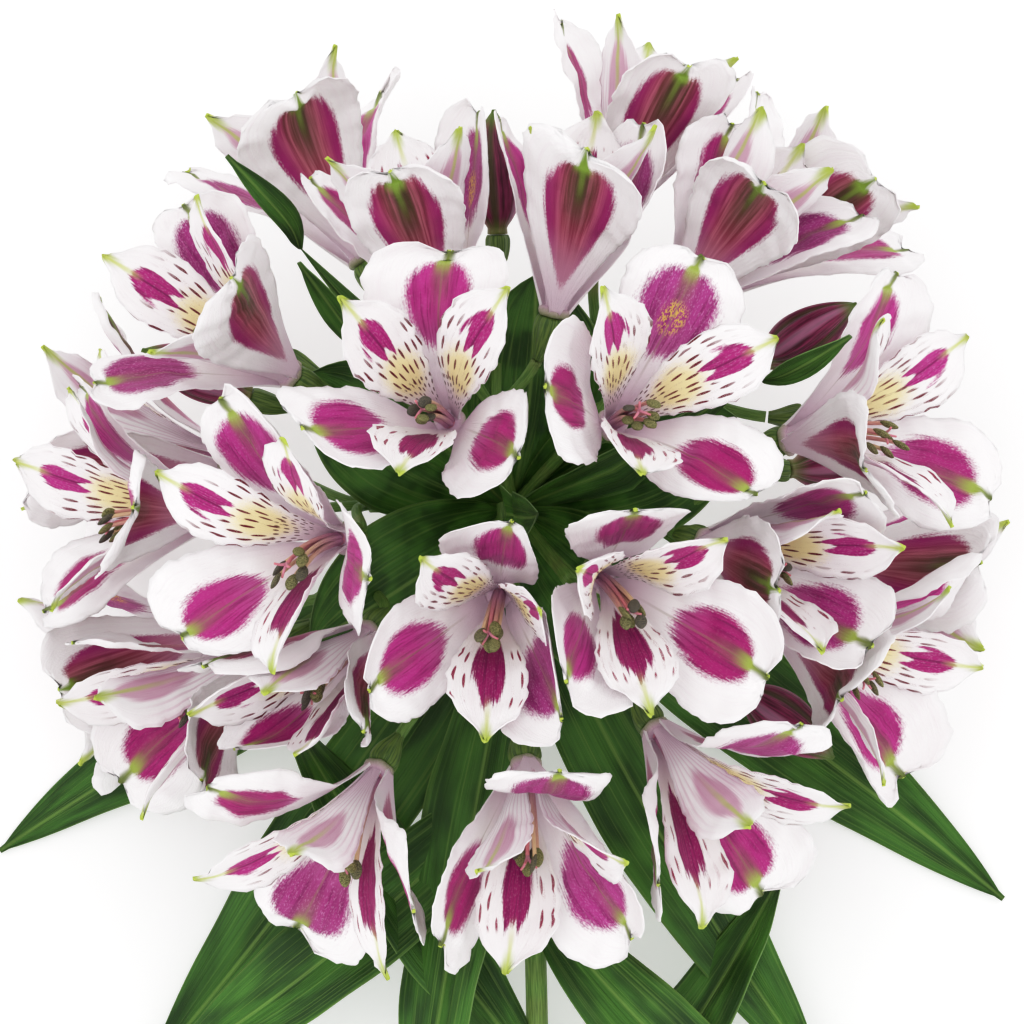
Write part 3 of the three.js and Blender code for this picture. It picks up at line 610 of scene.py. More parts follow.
INK = Table(**{name: linear(code) for name, code in dict(
    # The petals' faces
    white="#faf7f8", shade="#f0e2ea", lilac="#e8cbdd", rose="#bb3b8e", magenta="#a0196a", violet="#94417f",
    deep="#70124f", speck="#cf95bb", pale_rose="#bf6aa0", tan="#7d6a52", midline="#8d7a62", pollen="#d9b64e",
    olive="#69753a", face_green="#9cac52", yellow="#f5e6a4", maroon="#6b0d28", dot="#5a1a2c",
    pale_rib="#cdd47c", lime="#b3c455", striped_tip="#b9c45a", lower="#981f66", lower_stroke="#8a1240",
    # The petals' backs and the cup
    red="#9a2f52", pale_red="#c06f82", back_side="#a02e70", back_foot="#cf98b4", umber="#4c4429",
    keel="#7c9440", back_green="#7f9a3c", inner_band="#b44a86", inner_vein="#c27aa0", cup_foot="#7d8a4a",
    cup_top="#c9a5bd",
    # Filaments, style and anthers
    thread_foot="#c078a4", thread_tip="#d39a86", thread_pale="#dfc48e", style_foot="#c98aa6",
    style_tip="#d8707c", anther="#555a36", anther_pale="#a3a070", anther_dark="#443a52",
    # Buds
    bud_dark="#4a0a26", bud_red="#9b2c60", bud_ridge="#424a1e", bud_seam="#cf9aba", bud_tip="#5f7a2c",
    bud_foot="#7c8a45",
    # Leaves and stalks
    leaf_dark="#21450f", leaf_bright="#4a7c2c", leaf_vein="#82a450", under_dark="#3d5f2c",
    under_bright="#5a8044", under_vein="#86a566", stalk="#4f7a2e", stalk_pale="#7a9d4c",
    stalk_flush="#8a6a4e", ovary="#3e5f26", ovary_pale="#6f8a3e", ovary_flush="#7d4a4c",
).items()})
PETAL_GLOSS = dict(Specular_IOR_Level=0.2, Sheen_Weight=0.03)
SATIN = dict(Specular_IOR_Level=0.4)
# Depths of the bumps, in metres
BUMP = Table(petal=0.0002, cup=0.0001, thread=0.00006, anther=0.0002, bud=0.0003, leaf=0.00045, stalk=0.0003)

# Ovals on a petal, in its own shares: a half width of 1 reaches its edge, and a length of 1 its point.
Mark = namedtuple("Mark", "centre half_across half_along soft")
MARKS = Table(
    pollen=Mark(0.57, 0.2, 0.08, 0.6),
    back_band=Mark(0.53, 0.54, 0.39, 0.2),
    inner_band=Mark(0.68, 0.4, 0.26, 0.4),
    yellow_patch=Mark(0.44, 0.7, 0.17, 0.9),
    striped_blotch=Mark(0.76, 0.38, 0.13, 0.18),
    striped_clear=Mark(0.76, 0.47, 0.16, 0.15),
    lower_blotch=Mark(0.55, 0.44, 0.27, 0.16),
    lower_clear=Mark(0.55, 0.56, 0.31, 0.2),
)


def petal_streaks(shader, across=9.0, along=1.6):
    """Noise drawn out along the veins, about 0 to 1."""
    s, t, draw = shader.spot
    return shader.noise(shader.join(s * across, t * along, draw * 40), 3.0, 2.0, 0.6)


def petal_grain(shader):
    """Fine grain in millimetres."""
    x, y, draw = shader.place
    return shader.noise(shader.join(x, y * 0.4, draw * 30), 3.4, 1.0, 0.65)


def petal_veins(shader, count, streaks):
    """Fine lines along the blade that wander a little, 1 on a vein."""
    wandering = shader.spot[0] + streaks * 0.1
    return shader.math("POWER", abs(shader.math("SINE", wandering * (count * math.pi))), 8.0)


def oval(shader, mark, ragged=0.0):
    """A mask, 1 inside an oval on the blade. ragged, about 0, moves its edge in and out."""
    s, t, _ = shader.spot
    across, along = s / mark.half_across, (t - mark.centre) / mark.half_along
    distance = shader.math("SQRT", across * across + along * along)
    return (distance + ragged).smooth(1 + mark.soft / 2, 1 - mark.soft / 2)


def uneven(*parts):
    """The sum of noises about 0, each given with its weight."""
    return sum((noise - 0.5) * weight for noise, weight in parts)


def tip_coat(shader, length, width, green):
    """Green that runs down from the point at the blade's end."""
    x, t = shader.place[0], shader.spot[1]
    return t.smooth(1 - length, 1.0) * abs(x).smooth(width, width * 0.25), green


def wedge_coat(shader, start, width, streaks, green):
    """Green that narrows from the top of the blotch to the point at the blade's end."""
    x, t = shader.place[0], shader.spot[1]
    inside = (abs(x) + streaks * 1.4 - t.smooth(start, 1.0, width, 0.5)).smooth(1.3, -0.2)
    return inside * t.smooth(start - 0.08, start + 0.05), green


def petal_skin(shader, streaks, grain, *coats):
    """White, a little shaded along the veins and lilac towards the claw, under the petal's own coats."""
    veined = (streaks.smooth(0.45, 0.8, 0, 0.3), INK.shade)
    claw = (shader.spot[1].smooth(0.42, 0.04, 0, 0.75), INK.lilac)
    colour = shader.layers(INK.white, veined, claw, *coats)
    roughness, height = grain.smooth(0.2, 0.8, 0.42, 0.58), streaks * 0.9 + grain * 0.45
    return shader.finish(colour, roughness, height, BUMP.petal, **PETAL_GLOSS)


def outer_face():
    """A feathered blotch of varied hue, a hazy midrib, and pollen on a few petals."""
    shader = Shader("petal_outer_face")
    _, t, draw = shader.spot
    x, _, other = shader.place
    streaks, grain = petal_streaks(shader), petal_grain(shader)
    hue = shader.layers(
        INK.rose,
        (draw, INK.magenta),
        (other.smooth(0.45, 0.9, 0, 0.55), INK.violet),
        (streaks.smooth(0.52, 0.3, 0, 0.55), INK.deep),
        (grain.smooth(0.5, 0.74) * other.smooth(0.3, 1.0, 0.1, 0.5), INK.speck),
        (petal_veins(shader, 4.0, streaks) * 0.3, INK.deep),
        (abs(x).smooth(3.4, 0.4) * t.smooth(0.52, 0.8, 0, 0.6), INK.tan),
        (t.smooth(0.62, 0.36) * streaks.smooth(0.3, 0.62, 0.25, 0.95), INK.pale_rose),
    )
    ragged = uneven((streaks, 1.0)) * t.smooth(0.4, 0.8, 0.6, 0.26) + uneven((grain, 0.3))
    blotch = Mark(draw * 0.05 + 0.59, other.smooth(0.1, 0.9, 0.44, 0.6), 0.23, 0.3)
    dust = grain.smooth(0.48, 0.56) * (other.smooth(0.93, 0.94) * oval(shader, MARKS.pollen)) * 0.8
    midline = abs(x).smooth(0.45, 0.1) * t.smooth(0.1, 0.45, 0, 0.4)
    return petal_skin(
        shader, streaks, grain,
        (oval(shader, blotch, ragged), hue),
        (dust, INK.pollen),
        (midline, INK.midline),
        wedge_coat(shader, 0.8, 2.0, streaks, INK.face_green),
        tip_coat(shader, 0.12, 1.9, INK.olive),
    )


def outer_back():
    """A magenta and red band with an olive middle and a green keel."""
    shader = Shader("petal_outer_back")
    s, t, _ = shader.spot
    streaks, grain = petal_streaks(shader, 6.0, 0.7), petal_grain(shader)
    dark = (abs(s) + streaks * 0.4).smooth(0.56, 0.2)
    hue = shader.layers(
        INK.red,
        (streaks.smooth(0.3, 0.7), INK.pale_red),
        (abs(s).smooth(0.16, 0.46), INK.back_side),
        (t.smooth(0.5, 0.16, 0, 0.8), INK.back_foot),
        (dark * t.smooth(0.34, 0.72, 0, 0.92), INK.umber),
        (abs(shader.place[0]).smooth(1.1, 0.2) * t.smooth(0.6, 0.85, 0, 0.8), INK.keel),
    )
    band = oval(shader, MARKS.back_band, uneven((streaks, 0.26), (grain, 0.2)))
    green = wedge_coat(shader, 0.86, 2.4, streaks, INK.back_green)
    return petal_skin(shader, streaks, grain, (band, hue), green)


def inner_back():
    """A faint band with fine veins and a green keel."""
    shader = Shader("petal_inner_back")
    s, t, _ = shader.spot
    streaks, grain = petal_streaks(shader, 10.0, 1.0), petal_grain(shader)
    return petal_skin(
        shader, streaks, grain,
        (oval(shader, MARKS.inner_band, uneven((streaks, 0.6))) * 0.6, INK.inner_band),
        (petal_veins(shader, 5.0, streaks) * t.smooth(0.9, 0.5, 0, 0.35), INK.inner_vein),
        (abs(s).smooth(0.12, 0.02) * t.smooth(0.4, 0.9, 0, 0.7), INK.lime),
        tip_coat(shader, 0.12, 2.4, INK.lime),
    )


def dashes(shader, columns, rows, width, length, salt):
    """Short strokes in columns along the veins, each at a place of its own: 1 on a stroke."""
    s, t, draw = shader.spot
    fan = s * columns
    column = shader.math("FLOOR", fan)
    run = t * rows + shader.white(shader.join(column, draw, salt)) * 7.0
    cell = shader.math("FLOOR", run)
    present = shader.white(shader.join(column, cell, draw + salt))
    x = (fan - column - 0.5 + (present - 0.6) * 0.5) / width
    y = (run - cell - 0.5) / length
    return shader.math("SQRT", x * x + y * y).smooth(1.1, 0.8) * present.smooth(0.2, 0.24)


def striped_face():
    """Maroon dashes over a cream patch, dots near the throat, and a pronged blotch towards the point."""
    shader = Shader("petal_striped_face")
    s, t, draw = shader.spot
    streaks, grain = petal_streaks(shader, 8.0, 1.4), petal_grain(shader)
    prongs = shader.math("SINE", s * 19.0 + draw * 4) * t.smooth(0.84, 0.68, 0, 0.3)
    blotch = oval(shader, MARKS.striped_blotch, uneven((streaks, 0.5), (grain, 0.15)) + prongs)
    hue = shader.layers(
        INK.rose,
        (draw, INK.magenta),
        (grain.smooth(0.5, 0.75, 0, 0.4), INK.speck),
        (streaks.smooth(0.5, 0.35, 0, 0.5), INK.deep),
        (abs(s).smooth(0.06, 0.0, 0, 0.8), INK.deep),
    )
    top = abs(s).smooth(0.25, 0.6) * 0.18 + 0.7
    zone = t.smooth(0.32, 0.36) * t.smooth(top, 0.66) * (1.0 - oval(shader, MARKS.striped_clear))
    throat = t.smooth(0.14, 0.18) * t.smooth(0.4, 0.36)
    return petal_skin(
        shader, streaks, grain,
        (oval(shader, MARKS.yellow_patch, uneven((grain, 0.4))) * 0.85, INK.yellow),
        (blotch, hue),
        (dashes(shader, 4.6, 8.0, 0.18, 0.34, 3.0) * zone, INK.maroon),
        (dashes(shader, 5.0, 17.0, 0.22, 0.3, 8.0) * throat * 0.9, INK.dot),
        (abs(s).smooth(0.16, 0.03) * t.smooth(0.8, 0.94, 0, 0.8), INK.pale_rib),
        tip_coat(shader, 0.08, 1.6, INK.striped_tip),
    )


def lower_face():
    """A long pronged blotch with a few dashes beside it."""
    shader = Shader("petal_lower_face")
    s, t, draw = shader.spot
    streaks, grain = petal_streaks(shader, 8.0, 1.0), petal_grain(shader)
    prongs = shader.math("SINE", s * 17.0 + draw * 5) * 0.1
    blotch = oval(shader, MARKS.lower_blotch, uneven((streaks, 0.55), (grain, 0.15)) + prongs)
    hue = shader.layers(
        INK.lower,
        (grain.smooth(0.5, 0.8, 0, 0.3), INK.speck),
        (streaks.smooth(0.58, 0.32, 0, 0.7), INK.deep),
    )
    clear = 1.0 - oval(shader, MARKS.lower_clear, uneven((streaks, 0.5)))
    zone = t.smooth(0.45, 0.5) * t.smooth(0.86, 0.82) * clear
    return petal_skin(
        shader, streaks, grain,
        (blotch, hue),
        (dashes(shader, 4.0, 6.0, 0.15, 0.3, 5.0) * zone, INK.lower_stroke),
        (abs(s).smooth(0.14, 0.02) * t.smooth(0.74, 0.94, 0, 0.7), INK.pale_rib),
        tip_coat(shader, 0.1, 2.0, INK.lime),
    )


def petal_rim():
    shader = Shader("petal_rim")
    shaded = (petal_grain(shader) * 0.4, INK.shade)
    colour = shader.layers(INK.white, shaded, tip_coat(shader, 0.06, 2.4, INK.lime))
    return shader.finish(colour, 0.5, **PETAL_GLOSS)


def cup_skin():
    shader = Shader("petal_cup")
    grain = petal_grain(shader)
    rising = (shader.spot[1].smooth(0.2, 0.9), INK.cup_top)
    colour = shader.layers(INK.cup_foot, rising, (grain * 0.3, INK.shade))
    return shader.finish(colour, 0.5, grain, BUMP.cup, **PETAL_GLOSS)


def thread_skin(name, foot, tip, pale):
    """A filament's skin from foot to tip; some draws are pale."""
    shader = Shader(name)
    _, t, draw = shader.spot
    grain = petal_grain(shader)
    end = shader.mix(draw.smooth(0.45, 0.55), tip, pale)
    colour = shader.layers(foot, (t, end), (grain * 0.25, INK.shade))
    return shader.finish(colour, 0.4, grain, BUMP.thread, **SATIN)


def anther_skin():
    """Dusty and mottled; some draws are darker."""
    shader = Shader("anther")
    x, y, draw = shader.place
    spots = shader.noise(shader.join(x * 2.5, y * 2.2, draw), 2.2, 3.0)
    dark = (draw.smooth(0.6, 0.8, 0, 0.6), INK.anther_dark)
    colour = shader.layers(INK.anther, (spots.smooth(0.4, 0.62), INK.anther_pale), dark)
    return shader.finish(colour, 0.85, spots, BUMP.anther, Specular_IOR_Level=0.2)


def bud_skin():
    """Dark red with olive ridges, pale seams, and green at the foot and the point."""
    shader = Shader("bud_skin")
    s, t, _ = shader.spot
    streaks = petal_streaks(shader, 10.0, 1.0)
    lobes = shader.math("COSINE", s * (3 * math.pi))
    colour = shader.layers(
        INK.bud_dark,
        (streaks.smooth(0.3, 0.7), INK.bud_red),
        ((lobes + streaks * 0.6).smooth(0.85, 1.35) * 0.8, INK.bud_ridge),
        (lobes.smooth(-0.7, -1.0, 0, 0.5), INK.bud_seam),
        (t.smooth(0.8, 0.98), INK.bud_tip),
        (t.smooth(0.16, 0.0, 0, 0.8), INK.bud_foot),
    )
    return shader.finish(colour, 0.42, streaks, BUMP.bud, **SATIN)


def leaf_skin(name, dark, bright, vein, gloss):
    """Satin green with parallel veins, a pale midrib and slow mottling."""
    shader = Shader(name)
    s, t, draw = shader.spot
    mottle = shader.noise(shader.join(s * 1.5, t * 5, draw * 25), 1.2)
    streak = shader.noise(shader.join(s * 16, t * 1.2, draw * 13), 1.6, 3.0)
    colour = shader.layers(
        dark,
        (mottle.smooth(0.32, 0.68), bright),
        (streak.smooth(0.5, 0.72, 0, 0.35), vein),
        (streak.smooth(0.46, 0.3, 0, 0.4), dark),
        (abs(shader.place[0]).smooth(0.7, 0.1, 0, 0.55), vein),
        (abs(s).smooth(0.95, 1.0, 0, 0.45), vein),
    )
    roughness = streak.smooth(0.25, 0.75, gloss, gloss + 0.12)
    return shader.finish(colour, roughness, streak, BUMP.leaf, Specular_IOR_Level=0.32)


def stalk_skin(name, low, high, flush):
    """Green stalk skin with fine lines along it and a reddish flush."""
    shader = Shader(name)
    angle, y, draw = shader.place
    around = shader.join(shader.math("COSINE", angle), shader.math("SINE", angle), y * 0.02)
    lines, mottle = shader.noise(around, 9.0), shader.noise(shader.join(y * 0.06, draw, 0.0), 1.0)
    flushed = (mottle.smooth(0.5, 0.75, 0, 0.45), flush)
    colour = shader.layers(low, (lines.smooth(0.35, 0.65), high), flushed)
    return shader.finish(colour, 0.48, lines, BUMP.stalk, **SATIN)


# The face and the back of each kind of tepal
PETALS = {"outer": (outer_face(), outer_back()), "striped": (striped_face(), inner_back())}
PETALS["lower"] = (lower_face(), PETALS["striped"][1])
RIM_SKIN = petal_rim()
CUP_SKIN = cup_skin()
FILAMENT_SKIN = thread_skin("filament", INK.thread_foot, INK.thread_tip, INK.thread_pale)
STYLE_SKIN = thread_skin("style", INK.style_foot, INK.style_tip, INK.style_tip)
ANTHER_SKIN = anther_skin()
BUD_SKIN = bud_skin()
LEAF_TOP = leaf_skin("leaf_top", INK.leaf_dark, INK.leaf_bright, INK.leaf_vein, 0.38)
LEAF_UNDER = leaf_skin("leaf_under", INK.under_dark, INK.under_bright, INK.under_vein, 0.5)
STALK_SKIN = stalk_skin("stalk", INK.stalk, INK.stalk_pale, INK.stalk_flush)
OVARY_SKIN = stalk_skin("ovary_skin", INK.ovary, INK.ovary_pale, INK.ovary_flush)


# ---- Flowers ----


def tepal_surface(stand, kind, bearing, tip_angle, draw, s, t):
    """The model's middle surface of a tepal, its run, lift and sideways directions, and half its width."""
    outward = turned(stand.upper, stand.axis, bearing)
    sideways = np.cross(stand.axis, outward)
    base = math.radians(kind["base"])
    swing = math.radians(tip_angle) - base

    def angle_at(x):
        return base + swing * np.power(x, kind["flare"])

    r = np.full(t.shape, float(kind["ring"]))
    w = np.full(t.shape, float(RECEPTACLE.root))
    for k in range(TEPAL_STEPS):
        angle = angle_at((k + 0.5) * t / TEPAL_STEPS)
        r += kind["length"] * t * np.sin(angle) / TEPAL_STEPS
        w += kind["length"] * t * np.cos(angle) / TEPAL_STEPS
    half = outline(kind, t)
    angle = angle_at(t)[..., None]
    phase = kind["waves"] * t + draw + WAVE_OFFSET * np.sign(s)
    wave = kind["ruffle"] * s * s * t * np.sin(TURN * phase)
    lift = kind["cup"] * half * s * s * np.minimum(2 * t, 1) + wave
    up = stand.axis * np.sin(angle) - outward * np.cos(angle)
    run = stand.axis * np.cos(angle) + outward * np.sin(angle)
    middle = stand.seat + outward * r[..., None] + stand.axis * w[..., None]
    points = middle + up * lift[..., None] + sideways * (s * half)[..., None]
    return points, run, up, sideways, half


def between(a, b):
    """The turn from b to a, from -180 to 180 degrees."""
    return (a - b + 540) % 360 - 180


def tepals_of(stand, place, index):
    """Kind, bearing, angle and draw of each tepal of a flower, as far open as the walls let it."""
    walls = walls_of(index)
    s, t = np.array(PROBES, float).T
    tepals = []
    for k, (kind, bearing) in enumerate(TEPALS):
        beside = [o.angle for o in tepals if o.kind is OUTER and abs(between(o.bearing, bearing)) < 90]
        limit = 180 if kind is OUTER else min(beside) - LAYER
        opening = kind["tip"] * place.open * (1 + VARIETY.opening * vary(index, 10 + k))
        widest = min(opening, limit)
        at = bearing + VARIETY.bearing * vary(index, 20 + k)
        draw = vary(index, 30 + k)

        def fits(closed):
            points = tepal_surface(stand, kind, at, widest * (1 - closed), draw, s, t)[0]
            return all(max(normal @ p - offset for normal, offset in walls) < GIVE for p in points)

        closed = 0
        while not fits(closed) and closed + CLOSING.step < 1.001 - CLOSING.least:
            closed += CLOSING.step
        angle = widest * (1 - closed)
        tepals.append(Table(kind=kind, bearing=bearing, at=at, angle=angle, draw=draw))
    return tepals


def stray_of(kind, s, t, half, draws):
    """How far along, up and sideways a fine tepal strays from the model's surface."""
    stray, x, y = STRAY[kind["name"]], s * half, t * kind["length"]
    curl, twist, drift, left, right, phase, other = draws
    grown = smooth(0.15, 0.55, t)
    margin = np.where(s < 0, left, right) * stray.margin[1] + stray.margin[0]
    margin = margin * half * np.abs(s) ** 3 * smooth(0.2, 0.7, t)
    turn = np.radians(stray.twist * twist) * t

    def crumpled(wavelengths, shift):
        return ripple(x / wavelengths[0] + y / wavelengths[1], shift)

    crumple = crumpled(CRUMPLE.long, phase) * crumpled(CRUMPLE.cross, other)
    crumple = crumple + CRUMPLE.fine_share * crumpled(CRUMPLE.fine, other) * np.abs(s)
    side = np.sign(s) * FRILL.offset
    height = 1 - FRILL.unevenness + FRILL.unevenness * ripple(FRILL.slow_waves * t - side, phase)
    frill = np.abs(s) ** 4 * t * ripple(FRILL.waves * t + side, other) * height
    up = (stray.curl[0] + stray.curl[1] * curl) * smooth(0.5, 1.0, t) ** 1.4
    up = up + margin + x * np.sin(turn) + (stray.crumple * crumple + stray.frill * frill) * grown
    sideways = stray.drift * drift * t * t - x * (1 - np.cos(turn)) - 0.35 * np.sign(s) * np.abs(margin)
    nibbled = np.abs(s) ** 6 * ripple(NIBBLE.waves * t + side, phase)
    sideways = sideways + NIBBLE.aside * nibbled * grown
    along = NIBBLE.along * smooth(0.84, 1.0, t) * ripple(x / NIBBLE.spacing, phase)
    return along, up, sideways


def add_tepal(piece, stand, tepal, walls, index, number):
    """A fine tepal: the model's surface with a folded midrib, frilled edges and a pointed notch."""
    kind = tepal.kind
    s, t = across_and_along(TEPAL_CELLS[kind["name"]])
    surface = tepal_surface(stand, kind, tepal.at, tepal.angle, tepal.draw, s, t)
    points, run, up, sideways, half = surface
    draws = [vary(index * len(TEPALS) + number, 110 + k) for k in range(7)]
    along, lift, aside = stray_of(kind, s, t, half, draws)
    x, end = s * half, smooth(0.8, 1.0, t)
    if kind is OUTER:
        along = along - NOTCH.depth * bell(x, NOTCH.width) * end
    point = bell(x, NOTCH.point_width) * smooth(0.92, 1.0, t)
    fold = PETAL.fold * bell(x, PETAL.fold_width) * smooth(0.1, 0.35, t) * (1 - 0.6 * end)
    along = along + NOTCH.point * point
    lift = lift - fold + NOTCH.hook * draws[3] * point
    points = points + run * along[..., None] + up * lift[..., None] + sideways * aside[..., None]
    points = keep_inside(walls, points, WALL_GAP, PETAL.softness)
    thick = lerp(PETAL.edge, PETAL.thickness, 1 - np.abs(s) ** 4)
    thick = thick + PETAL.claw * smooth(0.25, 0.0, t) + PETAL.tip * point
    spot = triples(s, t, 0.5 + 0.5 * tepal.draw)
    place = triples(x, t * kind["length"], drawn(index, 70 + number))
    add_blade(piece, points, thick, spot, place, *PETALS[kind["name"]], RIM_SKIN, True)


def lathe(stand, angles, heights, radii):
    """Rings about a stand's axis. heights has a row for each ring, and radii a value for each point."""
    rings = stand.seat + stand.axis * heights[..., None]
    rings = rings + (radii * np.cos(angles))[..., None] * stand.upper
    return rings + (radii * np.sin(angles))[..., None] * stand.side


def add_cup(piece, stand):
    """The ring above the ovary that the tepals grow from."""
    angles = np.linspace(0, TURN, CUP.cells + 1)[None]
    heights, radii = np.array(CUP_ROWS).T[..., None]
    lobed = radii * (1 + CUP.lobe * np.cos(CUP.lobes * angles))
    share = np.linspace(0, 1, len(CUP_ROWS))[:, None]
    place = triples(angles * CUP.map_radius, share * CUP.map_height, 0.5)
    spot = triples(angles / math.pi - 1, share, 0.5)
    piece.grid(lathe(stand, angles, heights, lobed), spot, place, CUP_SKIN)


def add_anther(piece, centre, direction, draw):
    """An oblong anther of two lobes."""
    t = np.linspace(0, 1, ANTHER.rings)
    points = centre + direction * ((t - 0.5) * ANTHER.length)[:, None]
    radii = ANTHER.radius * np.power(np.sin(math.pi * np.clip(t, 0.02, 0.98)), 0.5)
    groove = dict(ribs=2, rib_depth=ANTHER.groove, squash=ANTHER.squash)
    add_tube(piece, points, radii, ANTHER.sides, ANTHER_SKIN, draw, **groove)


def add_stigma(piece, stand, tip, heading):
    """The branches at the end of the style."""
    share = np.linspace(0, 1, STIGMA.rings)
    for branch in range(STIGMA.branches):
        bearing = 360 / STIGMA.branches * branch + STIGMA.bearing
        out = turned(unit(stand.upper - heading * np.dot(stand.upper, heading)), heading, bearing)
        bends = [tip] + [tip + heading * ahead + out * aside for ahead, aside in STIGMA.bends]
        add_tube(piece, bezier(bends, share), lerp(*STIGMA.radii, share), STIGMA.sides, STYLE_SKIN, 1.0)


def make_stamens(name, stand, index, freedom):
    """Six filaments with anthers, and the style with its three-branched stigma."""
    piece = Piece(name + "_threads")
    count = STAMENS.count + 1
    floor = RECEPTACLE.height + TOUCH_GAP
    top = floor + STAMENS.foot_height

    def point(k, radius, ahead, drop=0.0):
        a = TURN * k / count
        aside = stand.upper * (radius * math.cos(a) - drop)
        return stand.seat + aside + stand.side * radius * math.sin(a) + stand.axis * ahead

    heights = (floor, floor + FOOT.lip, top, top + FOOT.cap)
    foot = np.array([point(0, 0, height) for height in heights])
    add_tube(piece, foot, FOOT.radii, FOOT.sides, STYLE_SKIN)
    t = np.linspace(0, 1, THREAD.rings)
    for k in range(count):
        is_style = k == 0
        length = STAMENS.length * (1 + VARIETY.stamen * vary(index, 50 + k))
        spread = STAMENS.spread * freedom
        if is_style:
            length, spread = STAMENS.style_length, spread * STAMENS.style_spread
        bends = [
            point(k + 0.5, 1, top),
            point(k + 0.5, STAMENS.swell, 0.55 * length),
            point(k + 0.5, spread, length, STAMENS.droop * freedom),
        ]
        curve = bezier(bends, t)
        end = unit(curve[-1] - curve[-2])
        draw = drawn(index, 90 + k)
        if is_style:
            radii = lerp(THREAD.root, THREAD.style_tip, t)
            add_tube(piece, curve, radii, THREAD.sides, STYLE_SKIN, draw)
            add_stigma(piece, stand, curve[-1], end)
            continue
        keep = t <= THREAD.share
        radii = lerp(THREAD.root, THREAD.tip, t[keep])
        add_tube(piece, curve[keep], radii, THREAD.sides, FILAMENT_SKIN, draw)
        lean = unit(end + ANTHER.lean * (2 * draw - 1) * stand.side - ANTHER.nod * stand.upper)
        add_anther(piece, curve[keep][-1] + lean * ANTHER.ahead, lean, draw)
    piece.finish(name + "_stamens", slot="stamens")


def make_flower(index):
    stand, walls = flower_stands[index], walls_of(index)
    tepals = tepals_of(stand, FLOWERS[index], index)
    name = f"flower_{index + 1:02d}"
    piece = Piece(name + "_petals")
    add_cup(piece, stand)
    for number, tepal in enumerate(tepals):
        add_tepal(piece, stand, tepal, walls, index, number)
    piece.finish(name + "_tepals", slot="tepals")
    freedom = min(min(tepal.angle / tepal.kind["tip"] for tepal in tepals), 1)
    make_stamens(name, stand, index, freedom)


def make_bud(index):
    """A closed bud of three overlapping lobes that taper to a green point."""
    stand, walls = bud_stands[index], walls_of(len(FLOWERS) + index)
    length = BUD.length * (1 + VARIETY.bud * vary(index, 60))
    t = np.concatenate([[0], np.linspace(0, 1, BUD_FORM.cells[1] + 1), [1]])[:, None]
    angles = np.linspace(0, TURN, BUD_FORM.cells[0] + 1)[None]
    belly = np.maximum(np.sin(math.pi * np.power(t, BUD.skew)), 0)
    belly = BUD.radius * np.power(belly, BUD.fullness)
    radius = np.maximum(belly, lerp(BUD.base_radius, BUD.tip_radius * BUD_FORM.tip, t))
    twisted = angles + BUD_FORM.twist * t
    seam = BUD_FORM.seam * np.power(0.5 - 0.5 * np.cos(3 * twisted), BUD_FORM.seam_power)
    lobed = radius * (BUD_FORM.fullness + BUD.lobes * np.cos(3 * twisted) - seam)
    lobed[0], lobed[-1] = 0.01, 0.01
    points = keep_inside(walls, lathe(stand, angles, length * t, lobed), WALL_GAP / 2)
    draw = drawn(index, 61)
    spot = triples(twisted / math.pi - 1, t, draw)
    node = f"bud_{index + 1:02d}"
    piece = Piece(node + "_skin")
    piece.grid(points, spot, triples(twisted * BUD_FORM.map_radius, t * length, draw), BUD_SKIN)
    piece.finish(node, slot="buds")


# ---- The leafy stem ----


def add_green(piece, points, shares, half, length, form, draws):
    """A leaf or bract about its middle points."""
    s, t = shares
    thick = LEAF_FORM.thickness * lerp(LEAF_FORM.edge, 1, 1 - np.abs(s) ** 3)
    thick = thick + form.root * smooth(form.root_share, 0.0, t)
    spot, place = triples(s, t, draws[0]), triples(s * half, t * length, draws[1])
    add_blade(piece, points, thick, spot, place, LEAF_TOP, LEAF_UNDER, LEAF_UNDER, False)


def fine_waves(form, s, t, half, phase):
    """The frill of a leaf's or bract's edges less the fold along its midrib."""
    frill = LEAF_FORM.frill * np.abs(s) ** 3 * np.sin(TURN * (form.waves * t + phase))
    return (frill - form.fold * bell(s * half, form.fold_width)) * np.sin(math.pi * t)


def add_leaf(piece, leaf, index):
    run, headings = leaf_run(leaf)
    s, t = across_and_along(LEAF_CELLS)
    steps = LEAF["steps"]
    k = np.minimum((t * steps).astype(int), steps - 1)
    share = (t * steps - k)[..., None]
    heading = unit(lerp(headings[k], headings[k + 1], share))
    centre = lerp(run[k], run[k + 1], share)
    level = unit(np.cross(heading, vec(0, 0, 1)))
    roll = np.radians(lerp(leaf.roll_root, leaf.roll_tip, t))[..., None]
    across = level * np.cos(roll) + np.cross(heading, level) * np.sin(roll)
    normal = np.cross(across, heading)
    half = outline({**LEAF, "width": leaf.width}, t)
    draw = vary(index, 80)
    phase = LEAF["waves"] * t + draw + WAVE_OFFSET * np.sign(s)
    wave = LEAF["ruffle"] * np.abs(s) * np.sin(math.pi * t) * np.sin(TURN * phase)
    wave = wave + fine_waves(LEAF_FORM.leaf, s, t, half, 3 * draw + 0.4 * np.sign(s))
    points = centre + across * (s * half)[..., None]
    points = points + normal * (LEAF["cup"] * half * np.abs(s) + wave)[..., None]
    points = keep_inside([(vec(0, 0, -1), 0.0)], points, LEAF_BLADE / 2 + STEM.flat)
    draws = (0.5 + 0.5 * draw, drawn(index, 81))
    add_green(piece, points, (s, t), half, leaf.length, LEAF_FORM.leaf, draws)


